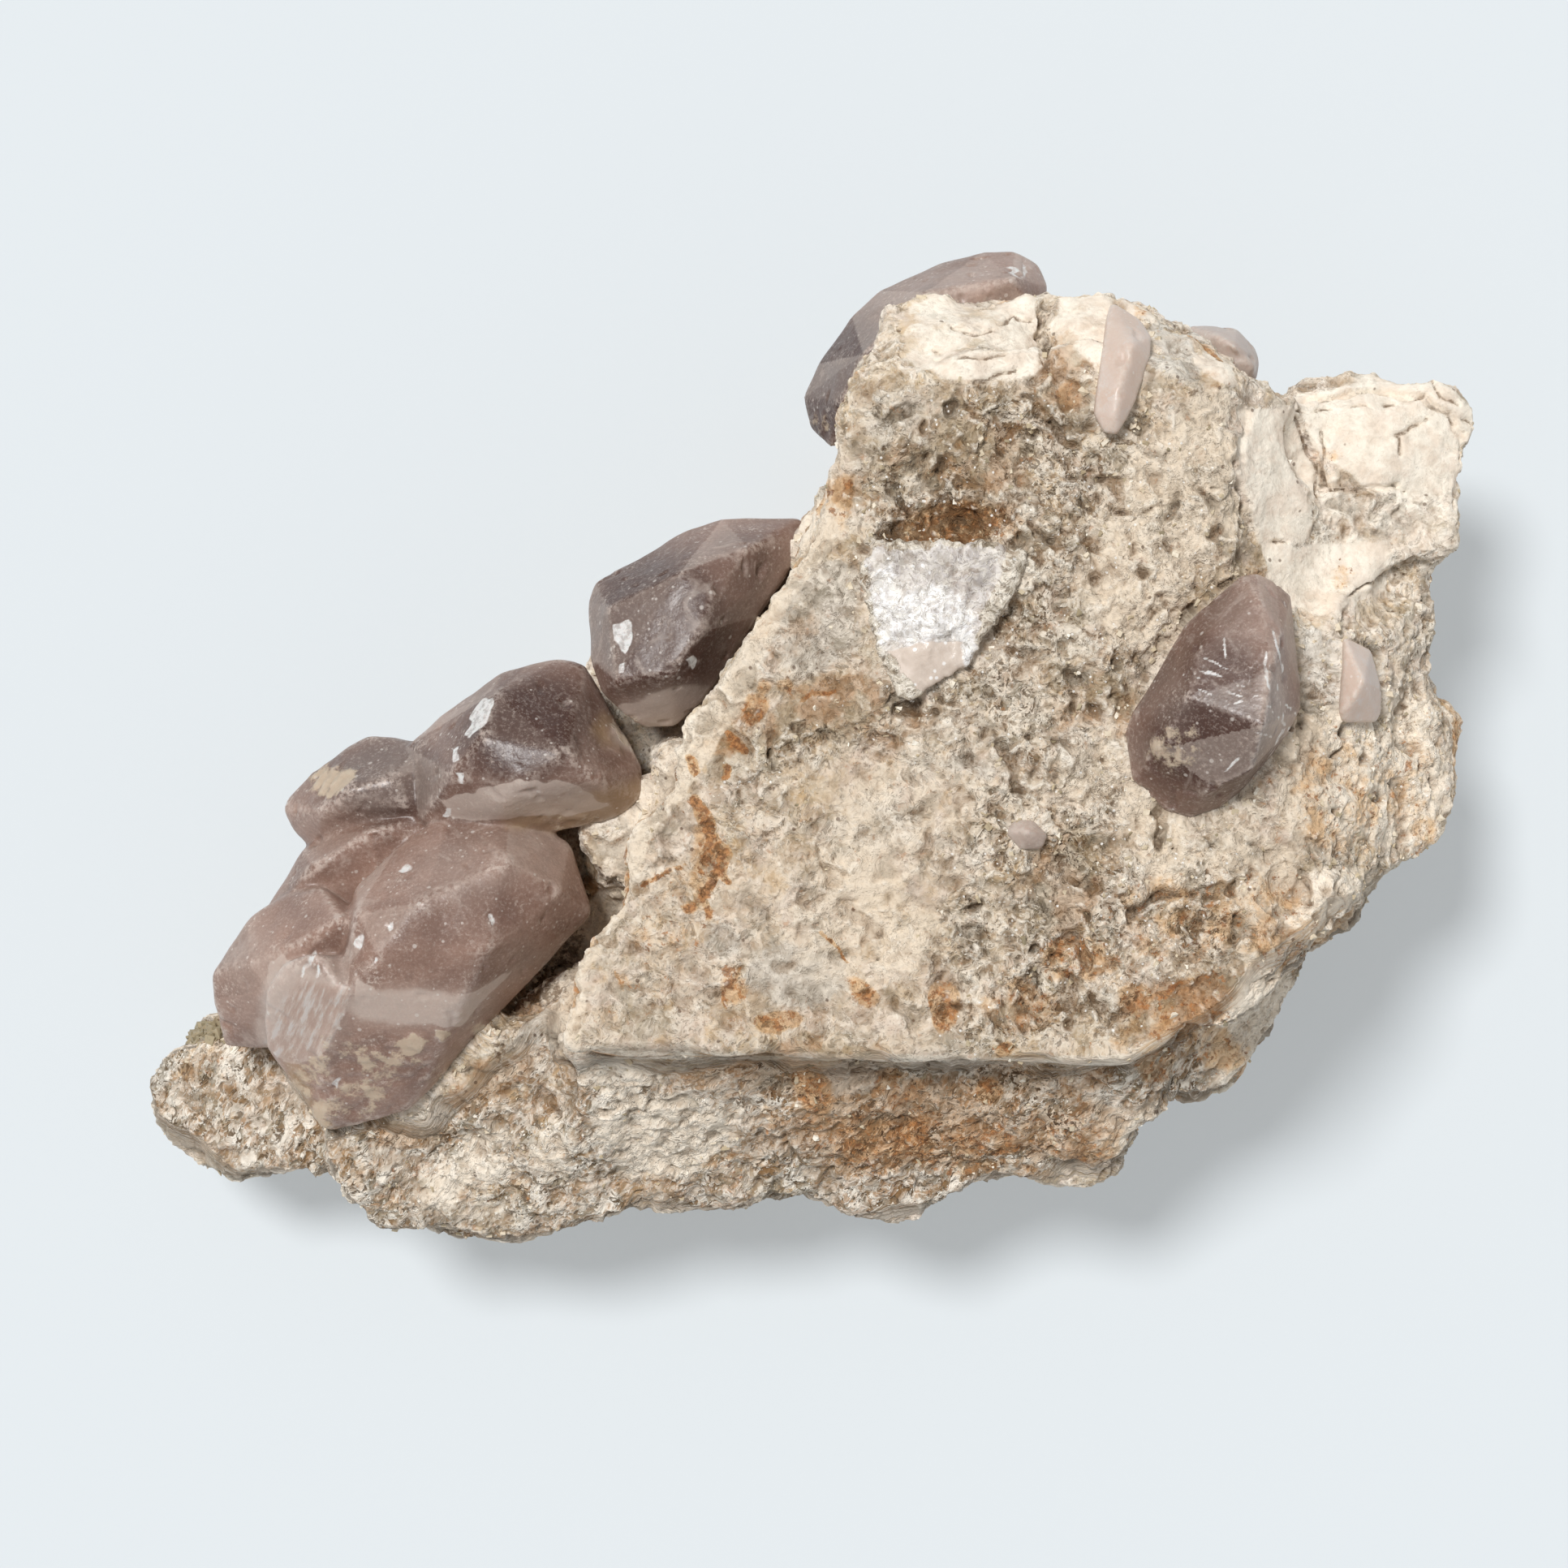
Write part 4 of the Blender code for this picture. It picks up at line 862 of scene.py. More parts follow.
def rock_material(settings):
    """Cream carbonate with tangled crumbs, chalky plates, grey glassy parts and iron stains, with painted shade in its
    hollows and painted highlights on its crests and lit edges.
    """
    material, tree, surface, vector = new_material("Carbonate rock")
    stain, speck, crumble = stain_group(), speck_group(), crumble_group(settings.powder_and_highlight)
    sugary, slab, plates = mask(tree, "sugary"), mask(tree, "slab"), mask(tree, "plates")
    turned = put(
        tree, "ShaderNodeVectorRotate", {"Vector": vector, "Angle": math.radians(-58)}, rotation_type="Z_AXIS")
    streaks = vector_calc(tree, "MULTIPLY", turned.outputs["Vector"], (0.66, 1.0, 1.0))
    flow = put(tree, "ShaderNodeMix", {0: slab, 4: vector, 5: streaks}, data_type="VECTOR").outputs[1]

    colour_ = blend(tree, ease(tree, cloud(tree, vector, 13.0, 3.0), 0.4, 0.64), settings.cream, settings.tan)
    colour_ = blend(tree, ease(tree, cloud(tree, flow, 4.5, 4.0, 0.6), 0.44, 0.66, 0.0, 0.8), colour_, settings.blush)
    brown = use_group(tree, stain, Mask=mask(tree, "brown"), Vector=flow, Scale=170.0, Ragged=1.7, Level=0.66)
    colour_ = blend(tree, calc(tree, "MULTIPLY", brown["Mask"], 0.75), colour_, settings.brown)
    colour_ = blend(tree, ease(tree, cloud(tree, vector, 8.0, 4.0, 0.68), 0.52, 0.64, 0.0, 0.6), colour_,
                    shade(186, 176, 156))
    colour_ = blend(tree, ease(tree, cloud(tree, flow, 3.4, 3.0, 0.7), 0.54, 0.66, 0.0, 0.6), colour_,
                    shade(248, 234, 220))
    colour_ = blend(tree, ease(tree, cloud(tree, flow, 5.6, 3.0, 0.7), 0.55, 0.66, 0.0, 0.55), colour_,
                    shade(220, 188, 142))
    # Lighter patches, with painted light on the lit bevel and on parts in the rock's own shadow.
    light = use_group(tree, stain, Mask=mask(tree, "light"), Vector=flow, Scale=190.0, Ragged=1.3, Level=0.5)["Mask"]
    colour_ = blend(tree, calc(tree, "MULTIPLY", light, 0.75), colour_, settings.light)
    patch = cloud(tree, vector, 5.0, 4.0, 0.64)
    # Duller patches, partly painted shade in recesses.
    olive_and_shade = use_group(tree, stain, Mask=mask(tree, "olive_and_shade"), Vector=flow, Scale=240.0, Ragged=1.5, Level=0.5)["Mask"]
    olive_hue = blend(tree, ease(tree, patch, 0.42, 0.58), settings.olive_and_shade, shade(196, 156, 108))
    olive_hue = blend(tree, calc(tree, "MULTIPLY", slab, 0.8), olive_hue, shade(206, 170, 128))
    colour_ = blend(tree, calc(tree, "MULTIPLY", olive_and_shade, 0.5), colour_, olive_hue)
    colour_ = blend(tree, calc(tree, "MULTIPLY", sugary, ease(tree, patch, 0.5, 0.36, 0.0, 0.7)), colour_,
                    shade(178, 162, 136))
    colour_ = blend(tree, calc(tree, "MULTIPLY", sugary, ease(tree, patch, 0.52, 0.66, 0.0, 0.6)), colour_,
                    shade(226, 214, 198))
    grey = use_group(tree, stain, Mask=mask(tree, "grey"), Vector=vector, Scale=330.0, Ragged=1.3, Level=0.5)
    colour_ = blend(tree, calc(tree, "MULTIPLY", grey["Mask"], 0.8), colour_, settings.grey)
    # Chalky plates, and the painted highlights of the lit edges.
    chalk_and_lit_edges = use_group(tree, stain, Mask=mask(tree, "chalk_and_lit_edges"), Vector=vector, Scale=300.0, Ragged=1.5, Level=0.42)
    mottle = ease(tree, cloud(tree, vector, 3.0, 4.0, 0.67), 0.36, 0.62)
    chalk_hue = blend(tree, mottle, shade(240, 224, 206), settings.chalk_and_lit_edges)
    colour_ = blend(tree, calc(tree, "MULTIPLY", chalk_and_lit_edges["Mask"], 0.9), colour_, chalk_hue)
    white = use_group(tree, stain, Mask=mask(tree, "spar"), Vector=vector, Scale=600.0, Ragged=1.4, Level=0.34)
    colour_ = blend(tree, calc(tree, "MULTIPLY", white["Mask"], 0.8), colour_, shade(222, 214, 206))

    rough_part = calc(tree, "MAXIMUM", sugary, calc(tree, "MULTIPLY", slab, 1.1))
    rough_part = calc(tree, "MAXIMUM", rough_part, 0.55)
    rough_part = calc(tree, "MULTIPLY", rough_part, ease(tree, plates, 0.2, 0.9, 1.0, 0.3))
    rough_part = calc(tree, "MULTIPLY", rough_part, ease(tree, cloud(tree, vector, 6.0, 3.0), 0.36, 0.62, 0.55, 1.15))
    crumbs = use_group(tree, crumble, Vector=flow, Base=colour_, Amount=rough_part)
    dust = cloud(tree, vector, 0.7, 4.0, 0.7)
    # The same patches deepened again after the crumbs, partly as painted shade.
    colour_ = blend(tree, calc(tree, "MULTIPLY", olive_and_shade, 0.5), crumbs["Color"], olive_hue, "MULTIPLY")
    # More of the lighter colour and painted light in the same places, broken by the dust.
    bright = calc(tree, "MULTIPLY", light, ease(tree, dust, 0.34, 0.56, 0.3, 0.75))
    colour_ = blend(tree, bright, colour_, settings.light)

    # Painted shade in the low parts of the relief, and a painted highlight on its summits.
    basin = calc(tree, "MULTIPLY", mask(tree, "basin"), ease(tree, dust, 0.3, 0.6, 0.25, 0.72))
    basin_hue = blend(tree, ease(tree, patch, 0.42, 0.58), shade(126, 116, 100), shade(138, 106, 70))
    colour_ = blend(tree, basin, colour_, basin_hue)
    summit = calc(tree, "MULTIPLY", mask(tree, "summit"), ease(tree, dust, 0.38, 0.6, 0.1, 0.7))
    colour_ = blend(tree, summit, colour_, settings.powder_and_highlight)

    iron_mask = mask(tree, "iron")
    halo = use_group(tree, stain, Mask=iron_mask, Vector=flow, Scale=260.0, Ragged=1.4, Level=0.4)["Mask"]
    colour_ = blend(tree, calc(tree, "MULTIPLY", halo, 0.7), colour_, settings.iron, "MULTIPLY")
    iron = use_group(tree, stain, Mask=iron_mask, Vector=vector, Scale=900.0, Ragged=3.4, Level=0.72)["Mask"]
    iron_hue = blend(tree, ease(tree, dust, 0.4, 0.6), shade(196, 136, 82), shade(130, 82, 46))
    colour_ = blend(tree, calc(tree, "MULTIPLY", iron, 0.8), colour_, iron_hue)
    flecks = ease(tree, cloud(tree, flow, 1.8, 4.0, 0.76), 0.6, 0.7, 0.0, 0.45)
    colour_ = blend(tree, calc(tree, "MULTIPLY", flecks, ease(tree, plates, 0.2, 0.8, 1.0, 0.2)), colour_, iron_hue)
    rust = use_group(tree, stain, Mask=mask(tree, "rust"), Vector=vector, Scale=1100.0, Ragged=2.8, Level=0.66)
    colour_ = blend(tree, calc(tree, "MULTIPLY", rust["Mask"], 0.68), colour_, settings.rust)

    colour_ = blend(tree, mask(tree, "face"), colour_, settings.face_shade, "MULTIPLY")
    # Painted highlight on the crests of the skin.
    crest = ease(tree, mask(tree, "crest"), 0.1, 1.0, 0.0, 0.5)
    colour_ = blend(tree, calc(tree, "MULTIPLY", crest, ease(tree, dust, 0.36, 0.56)), colour_, settings.powder_and_highlight)
    # Painted shade in the hollows of the skin.
    hollow = ease(tree, mask(tree, "hollow"), 0.1, 1.0, 0.0, 0.8)
    colour_ = blend(tree, calc(tree, "MULTIPLY", hollow, ease(tree, dust, 0.3, 0.6, 0.5, 1.0)), colour_, settings.crevice_shade)
    cracks = calc(tree, "MULTIPLY", ease(tree, mask(tree, "cracks"), 0.3, 0.9), ease(tree, dust, 0.36, 0.58, 0.2, 0.8))
    colour_ = blend(tree, cracks, colour_, shade(112, 88, 64))
    specks = use_group(tree, speck, Vector=vector, Scale=900.0, Share=0.05, Size=0.26)
    colour_ = blend(tree, calc(tree, "MULTIPLY", specks["Mask"], 0.7), colour_, shade(92, 64, 42))
    glints = use_group(tree, speck, Vector=vector, Scale=1900.0, Share=0.05, Size=0.36)["Mask"]
    glints = calc(tree, "MULTIPLY", glints, ease(tree, sugary, 0.2, 0.8))
    colour_ = blend(tree, calc(tree, "MULTIPLY", glints, 0.8), colour_, shade(255, 253, 248))
    tree.links.new(colour_, surface.inputs["Base Color"])

    shine = calc(tree, "MAXIMUM", glints, calc(tree, "MULTIPLY", grey["Mask"], 0.5))
    tree.links.new(calc(tree, "SUBTRACT", 0.88, calc(tree, "MULTIPLY", shine, 0.5)), surface.inputs["Roughness"])
    rise = calc(tree, "ADD", crumbs["Height"], calc(tree, "MULTIPLY", dust, 0.3))
    bump = put(tree, "ShaderNodeBump", {"Height": rise, "Strength": 0.75, "Distance": 0.0005})
    tree.links.new(bump.outputs["Normal"], surface.inputs["Normal"])
    return material


def part_of(mesh, chosen, name):
    """A copy of the mesh with only the chosen faces."""
    work = bmesh.new()
    work.from_mesh(mesh)
    work.faces.ensure_lookup_table()
    bmesh.ops.delete(work, geom=[work.faces[i] for i in np.flatnonzero(~chosen)], context="FACES")
    made = bpy.data.meshes.new(name)
    work.to_mesh(made)
    work.free()
    made.materials.append(mesh.materials[0])
    return made


class SPECIMEN_OT_rock(Operator):
    """Weathered carbonate rock with its broken face, plates, slab and stains"""
    bl_idname = "specimen.rock"
    bl_label = "Rock"

    def execute(self, context):
        settings = context.scene.specimen_rock
        voxel = settings.voxel
        mesh = reworked(merged_copy("matrix"), "REMESH", mode="VOXEL", voxel_size=voxel)
        smoothed(mesh, 2)
        split_front(mesh)
        smoothed(mesh, 1)
        settle_ledge(mesh)
        masks = carve_rock(mesh, settings)
        low = hollows(mesh, 12)
        points, side = points_of(mesh), masks["side"]
        drift = np.array([noise.fractal(Vector(p), 1.0, 2.0, 3) for p in points / 0.022])
        masks["iron"] = np.maximum(masks["iron"], side * smooth(drift, 0.1, 0.6) * 0.7)
        masks["chalk_and_lit_edges"] = np.maximum(masks["chalk_and_lit_edges"], side * smooth(-drift, 0.2, 0.7) * 0.6)
        masks["brown"] = np.maximum(0.45 * side, masks["slab"])
        masks["sugary"] = np.maximum(masks["sugary"], 0.6 * side)
        # Painted shade goes where the skin is hollow, and a painted highlight where it is crested.
        masks["hollow"] = smooth(low, 0.00008, 0.0006)
        masks["crest"] = smooth(-low, 0.00006, 0.00045)
        for name in ROCK_MASKS:
            keep_mask(mesh, name, masks[name])
        # The sides are thinned by half first, and then all of it where it is flat.
        weights = (masks["front"] < 0.02).astype(float)
        kept = len(mesh.polygons) - np.count_nonzero(weights)
        for target, chosen in ((kept, weights), (settings.triangles, None)):
            ratio = target / len(mesh.polygons)
            if ratio < 1:
                mesh = reworked(mesh, "DECIMATE", ratio=ratio, weights=chosen)
        smooth_faces(mesh)
        mesh.materials.append(rock_material(settings))
        centres = np.empty(len(mesh.polygons) * 3)
        mesh.polygons.foreach_get("center", centres)
        facing = np.empty(len(mesh.polygons) * 3, np.float32)
        mesh.polygons.foreach_get("normal", facing)
        centres, facing = centres.reshape(-1, 3), facing.reshape(-1, 3)
        ahead = (facing * (np.array(EYE) - centres)).sum(axis=1) > 0
        place = seen_place(centres)
        on_face = ahead & (zone(place, BROKEN_FACE, 1) > 0.5)
        right = place[:, 0] > 1392
        chosen = (on_face, ahead & ~on_face & ~right, ahead & ~on_face & right, ~ahead)
        for name, faces in zip(ROCK_PIECES, chosen):
            show(name, part_of(mesh, faces, name), "matrix_rock", "matrix")
        bpy.data.meshes.remove(mesh)
        return {"FINISHED"}


# ---------------------------------------------------------------- the crystals


# Pale bands, most of them a painted reflection of light in the crystals' lower facets; the second is the striated
# block.
PALE_AND_REFLECTION_BANDS = [
    [(437, 1206), (480, 1232), (556, 1232), (630, 1198), (598, 1228), (566, 1263), (480, 1258), (441, 1239)],
    [(330, 1290), (342, 1240), (380, 1205), (432, 1218), (420, 1262), (396, 1302), (352, 1304)],
    [(330, 1212), (336, 1190), (352, 1180), (364, 1190), (360, 1210), (340, 1220)],
    [(752, 905), (762, 868), (866, 852), (868, 885), (820, 905), (790, 916)],
    [(545, 985), (640, 962), (700, 966), (756, 992), (700, 1004), (560, 1010)],
]
# Pale veils, and painted light on facets that face away from the lamp, such as the band at 820, 885.
VEIL_AND_LIT_SPOTS = [
    (816, 888, 60, 26, 20, 1.0), (1430, 850, 30, 50, 30, 0.3), (820, 885, 70, 34, 20, 0.9),
    (1510, 430, 50, 40, 0, 0.9), (500, 1240, 90, 26, 0, 0.6), (370, 1240, 60, 60, 30, 0.6),
    (1265, 1030, 30, 24, 0, 0.9), (1500, 430, 50, 40, 0, 0.8), (810, 880, 60, 30, 0, 0.5),
    (370, 1240, 60, 60, 30, 0.35), (600, 1060, 90, 40, 20, 0.35), (300, 1180, 40, 60, 30, 0.4),
    (1530, 760, 34, 40, 0, 0.35), (470, 960, 40, 40, 0, 0.3), (640, 1180, 20, 30, 0, 0.2),
    (830, 760, 60, 50, 0, 0.15), (1570, 860, 20, 60, 0, 0.45), (1150, 350, 60, 20, 12, 0.35),
    (340, 1260, 40, 30, 60, 0.5),
]
# Darker mauve inside the crystals, and painted shade on facets, such as those of the crystal in the broken face.
DEEP_AND_SHADED_SPOTS = [
    (480, 962, 70, 56, 0, 1.0), (650, 900, 90, 66, 20, 1.0), (810, 770, 100, 100, 0, 1.0),
    (1030, 470, 54, 100, -30, 1.0), (1430, 850, 44, 60, 0, 0.7), (900, 700, 60, 40, 30, 0.6),
    (1500, 880, 80, 100, 0, 0.6), (1150, 350, 60, 20, 10, 0.2), (640, 930, 110, 80, 20, 0.45),
    (830, 770, 110, 110, 30, 0.3), (1500, 880, 110, 120, 0, 0.4), (1060, 440, 60, 110, -30, 0.35),
    (600, 1120, 140, 50, 14, 0.15), (240, 1240, 60, 40, 0, 0.1), (600, 1190, 80, 22, 14, 0.3),
    (700, 880, 60, 50, 0, 0.45), (620, 940, 50, 40, 0, 0.45), (1490, 910, 90, 80, 0, 1.0),
    (1545, 960, 50, 50, 0, 0.9), (1500, 840, 60, 60, 0, 0.8), (1500, 760, 50, 40, 0, 0.4),
    (820, 740, 60, 60, 0, 0.3), (900, 760, 40, 60, 30, 0.4), (420, 1040, 60, 30, 30, 0.25),
    (1060, 450, 20, 40, 30, 0.3), (560, 1130, 120, 40, 14, 0.3),
]
# Greyer parts, and rock flour that sticks to the crystals.
COOL_SPOTS = [
    (440, 950, 110, 60, 20, 0.6), (1180, 345, 120, 40, 10, 0.2), (1520, 850, 60, 50, 0, 0.3),
    (390, 1240, 60, 70, 30, 0.4), (330, 1080, 60, 60, 0, 0.3), (1500, 430, 60, 50, 0, 0.4),
    (280, 1200, 60, 60, 0, 0.4),
]
CRUST_SPOTS = [
    (440, 1350, 50, 40, 0, 0.6), (400, 1300, 30, 30, 0, 0.5), (520, 1320, 40, 20, -30, 0.5),
    (508, 1286, 22, 12, 0, 0.9), (545, 1273, 10, 7, 0, 0.9), (412, 964, 32, 20, 20, 0.95),
    (780, 905, 34, 22, -30, 0.8), (1450, 920, 40, 28, 20, 0.75), (460, 1330, 60, 26, 30, 0.5),
    (380, 1330, 24, 50, -30, 0.7), (430, 1290, 16, 14, 0, 0.6), (560, 1250, 14, 8, 0, 0.4),
    (480, 1300, 26, 10, -10, 0.9), (590, 1268, 14, 10, 0, 0.8), (452, 1302, 12, 20, 20, 0.9),
    (400, 1372, 20, 18, 0, 0.8), (370, 940, 16, 30, 50, 0.7), (1010, 520, 16, 20, 0, 0.6),
    (720, 1015, 50, 14, 0, 0.5),
]
# Yellowish edges, where light comes through.
AMBER_LINES = [
    ([(806, 1122), (752, 1176), (692, 1228), (630, 1280), (560, 1346)], 40, 1.0),
    ([(750, 900), (790, 908), (840, 900)], 30, 0.7),
    ([(640, 1004), (700, 1006), (790, 980)], 30, 0.7),
    ([(362, 1300), (372, 1350), (400, 1390)], 18, 0.7),
]
# Painted reflections of the lamp on facets, white chips, small and large, and fine scratches on the crystal in the
# broken face.
GLINTS = [
    [(573, 905), (585, 884), (596, 864), (609, 860), (606, 882), (594, 898), (580, 910)],
    [(556, 922), (566, 920), (566, 936), (558, 938)],
    [(561, 950), (570, 950), (570, 966), (564, 966)],
    [(548, 996), (556, 996), (556, 1004), (548, 1004)],
    [(754, 768), (776, 765), (780, 784), (770, 806), (760, 790)],
    [(762, 816), (770, 814), (770, 832), (761, 830)],
    [(846, 812), (858, 808), (852, 826), (845, 822)],
]
GLINT_SPOTS = [
    (501, 1071, 8, 4, 30, 1.0), (606, 1132, 4, 8, 20, 1.0), (444, 1160, 4, 10, -10, 1.0),
    (390, 1196, 8, 4, 60, 0.9), (463, 1183, 3, 6, -20, 0.9), (482, 1142, 5, 5, 0, 0.9),
    (1250, 336, 12, 3, -30, 0.9), (1262, 332, 3, 10, 10, 0.8), (415, 1335, 4, 8, -20, 0.9),
    (384, 1180, 3, 12, -25, 0.8), (374, 1196, 3, 12, -25, 0.8),
]
SCRATCHES = [
    [(1470, 824), (1500, 836)], [(1476, 836), (1520, 856)], [(1474, 848), (1510, 864)], [(1488, 828), (1534, 846)],
    [(1500, 850), (1540, 862)], [(1508, 788), (1512, 820)], [(1484, 812), (1516, 826)], [(1520, 868), (1548, 858)],
    [(1558, 800), (1562, 850)], [(1566, 820), (1584, 900)], [(1574, 860), (1596, 880)], [(1560, 870), (1590, 900)],
    [(1568, 780), (1580, 830)], [(1580, 900), (1560, 940)], [(1530, 930), (1510, 950)], [(1548, 902), (1566, 908)],
]


# Crystals whose edges are rounder than the others'.
ROUNDER = {"crystal_cluster": 6, "crystal_upper": 4, "crystal_top": 5, "crystal_ridge": 3}


def facet_tones(node, points):
    """A tone from 0 to 1 for each point, even over each flat facet of the solid."""
    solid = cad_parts[node].data
    tree = BVHTree.FromPolygons([v.co for v in solid.vertices], [p.vertices for p in solid.polygons])
    tones = [noise.noise(tree.find_nearest(Vector(p))[1] * 4.7) for p in points]
    return np.clip(0.5 + 1.3 * np.array(tones), 0, 1)


def cut_crystal(node, settings):
    """A crystal's welded skin with worn edges, soft waves and chips."""
    voxel = settings.voxel
    if node != "crystal_cluster":
        voxel *= SINGLE_FINER
    mesh = reworked(merged_copy(node), "REMESH", mode="VOXEL", voxel_size=voxel)
    tones = facet_tones(node, points_of(mesh))
    smoothed(mesh, settings.edge_rounds * ROUNDER.get(node, 1))
    points, normals = points_of(mesh), normals_of(mesh)
    place = seen_place(points)
    fine = waves(points, 0.0014)
    ragged = place + 4 * fine + 5 * waves(points, 0.005)
    front = smooth(normals[:, 2], 0.0, 0.3)
    push = np.empty(len(points))
    for index, (x, y, z) in enumerate(points / MM):
        spot = Vector((x, y, z))
        soft = noise.noise(spot / 6.0) + 0.5 * noise.noise(spot / 2.4)
        chip = max(0.0, noise.noise(spot / 1.9 + Vector((5, 60, 8))) - 0.45)
        push[index] = settings.ripple * soft - 0.0012 * chip
    push -= 0.0003 * spots(place, GLINT_SPOTS) * front
    amber = strokes(ragged, AMBER_LINES)
    crust = spots(ragged, CRUST_SPOTS) * front
    push += 0.00035 * crust * smooth(fine[:, 0], -0.3, 0.3)
    put_points(mesh, points + normals * (push + settings.swell)[:, None])
    low = hollows(mesh, 14)
    keep_mask(mesh, "tone", tones)
    # Worn edges, paler partly from wear and partly as a painted highlight.
    keep_mask(mesh, "worn", smooth(-low, 0.00004, 0.0002))
    keep_mask(mesh, "striae", zone(ragged, PALE_AND_REFLECTION_BANDS[1], 6) * smooth(normals[:, 2], 0.0, 0.3))
    # Pale bands and veils, much of them painted reflection and painted light.
    keep_mask(mesh, "pale", np.maximum(zones(ragged, PALE_AND_REFLECTION_BANDS, 4), spots(place, VEIL_AND_LIT_SPOTS)) * front)
    # Darker mauve, partly painted shade on facets.
    keep_mask(mesh, "deep", spots(place, DEEP_AND_SHADED_SPOTS))
    keep_mask(mesh, "cool", spots(place, COOL_SPOTS))
    keep_mask(mesh, "amber", amber)
    keep_mask(mesh, "crust", crust)
    broken = smooth(fine[:, 1], -0.35, 0.15)
    scratch = np.max([stroke(place + 2 * fine, line, 2.6) for line in SCRATCHES], axis=0) * broken
    glint = np.maximum(zones(place + 5 * fine, GLINTS, 2), spots(place + 6 * fine, GLINT_SPOTS))
    keep_mask(mesh, "glint", np.maximum(glint, 0.85 * scratch) * front)
    smooth_faces(mesh)
    return mesh


def crystal_material(name, settings, body, deep, veil, transmission, cloudy):
    """Cloudy, slightly see-through calcite."""
    material, tree, surface, vector = new_material(name)
    stain, speck = stain_group(), speck_group()
    fog = cloud(tree, vector, 7.0, 3.0, 0.5)
    wisps = put(tree, "ShaderNodeTexNoise", {
        "Vector": vector, "Scale": 210.0, "Detail": 4.0, "Roughness": 0.6, "Distortion": 1.4}).outputs["Fac"]
    colour_ = blend(tree, ease(tree, fog, 0.36, 0.66), body, deep)
    colour_ = blend(tree, 0.68, colour_, body)
    # Darker mauve, partly painted shade on facets.
    colour_ = blend(tree, calc(tree, "MULTIPLY", mask(tree, "deep"), 0.95), colour_, deep)
    colour_ = blend(tree, calc(tree, "MULTIPLY", mask(tree, "cool"), 0.4), colour_, shade(166, 150, 142))
    tone = mask(tree, "tone")
    colour_ = blend(tree, ease(tree, tone, 0.5, 0.0, 0.0, 0.24), colour_, deep)
    colour_ = blend(tree, ease(tree, tone, 0.5, 1.0, 0.0, 0.28), colour_, veil)
    colour_ = blend(tree, ease(tree, wisps, 0.56, 0.74, 0.0, cloudy), colour_, veil)
    frost = cloud(tree, vector, 0.4, 3.0, 0.8)
    colour_ = blend(tree, ease(tree, frost, 0.5, 0.7, 0.0, 0.3), colour_, veil)
    colour_ = blend(tree, ease(tree, frost, 0.5, 0.32, 0.0, 0.18), colour_, deep)
    colour_ = blend(tree, calc(tree, "MULTIPLY", mask(tree, "amber"), ease(tree, fog, 0.3, 0.5, 0.4, 0.85)), colour_,
                    shade(184, 152, 108))
    # Pale bands and veils, much of them painted reflection and painted light.
    pale = use_group(tree, stain, Mask=mask(tree, "pale"), Vector=vector, Scale=380.0, Ragged=0.35, Level=0.4)
    pale = calc(tree, "MAXIMUM", calc(tree, "MULTIPLY", pale["Mask"], 0.62),
                calc(tree, "MULTIPLY", mask(tree, "pale"), 0.35))
    colour_ = blend(tree, pale, colour_, veil)
    # Worn edges, paler partly from wear and partly as a painted highlight.
    worn = calc(tree, "MULTIPLY", mask(tree, "worn"), ease(tree, cloud(tree, vector, 0.7, 3.0, 0.7), 0.4, 0.62))
    colour_ = blend(tree, calc(tree, "MULTIPLY", worn, 0.6), colour_, settings.veil)
    turned = put(
        tree, "ShaderNodeVectorRotate", {"Vector": vector, "Angle": math.radians(28)}, rotation_type="Z_AXIS")
    drawn = vector_calc(tree, "MULTIPLY", turned.outputs["Vector"], (1.0, 0.05, 0.3))
    lines = cloud(tree, drawn, 0.8, 4.0, 0.65)
    striae = mask(tree, "striae")
    colour_ = blend(tree, calc(tree, "MULTIPLY", striae, ease(tree, lines, 0.42, 0.56, 0.55, 0.0)), colour_, body)
    colour_ = blend(tree, calc(tree, "MULTIPLY", striae, ease(tree, lines, 0.52, 0.62, 0.0, 0.7)), colour_,
                    settings.spar)
    drifts = cloud(tree, vector, 4.2, 4.0, 0.65)
    dust = calc(tree, "MULTIPLY", ease(tree, drifts, 0.5, 0.68),
                ease(tree, cloud(tree, vector, 0.45, 3.0, 0.75), 0.52, 0.64))
    colour_ = blend(tree, calc(tree, "MULTIPLY", dust, 0.65), colour_, veil)
    specks = use_group(tree, speck, Vector=vector, Scale=640.0, Share=0.12, Size=0.2)
    small = use_group(tree, speck, Vector=vector, Scale=1500.0, Share=0.09, Size=0.3)
    dots = calc(tree, "MAXIMUM", specks["Mask"], small["Mask"])
    colour_ = blend(tree, calc(tree, "MULTIPLY", dots, 0.55), colour_, shade(244, 236, 228))
    crust = use_group(tree, stain, Mask=mask(tree, "crust"), Vector=vector, Scale=480.0, Ragged=2.0, Level=0.66)
    colour_ = blend(tree, calc(tree, "MULTIPLY", crust["Mask"], 0.75), colour_, settings.crust)
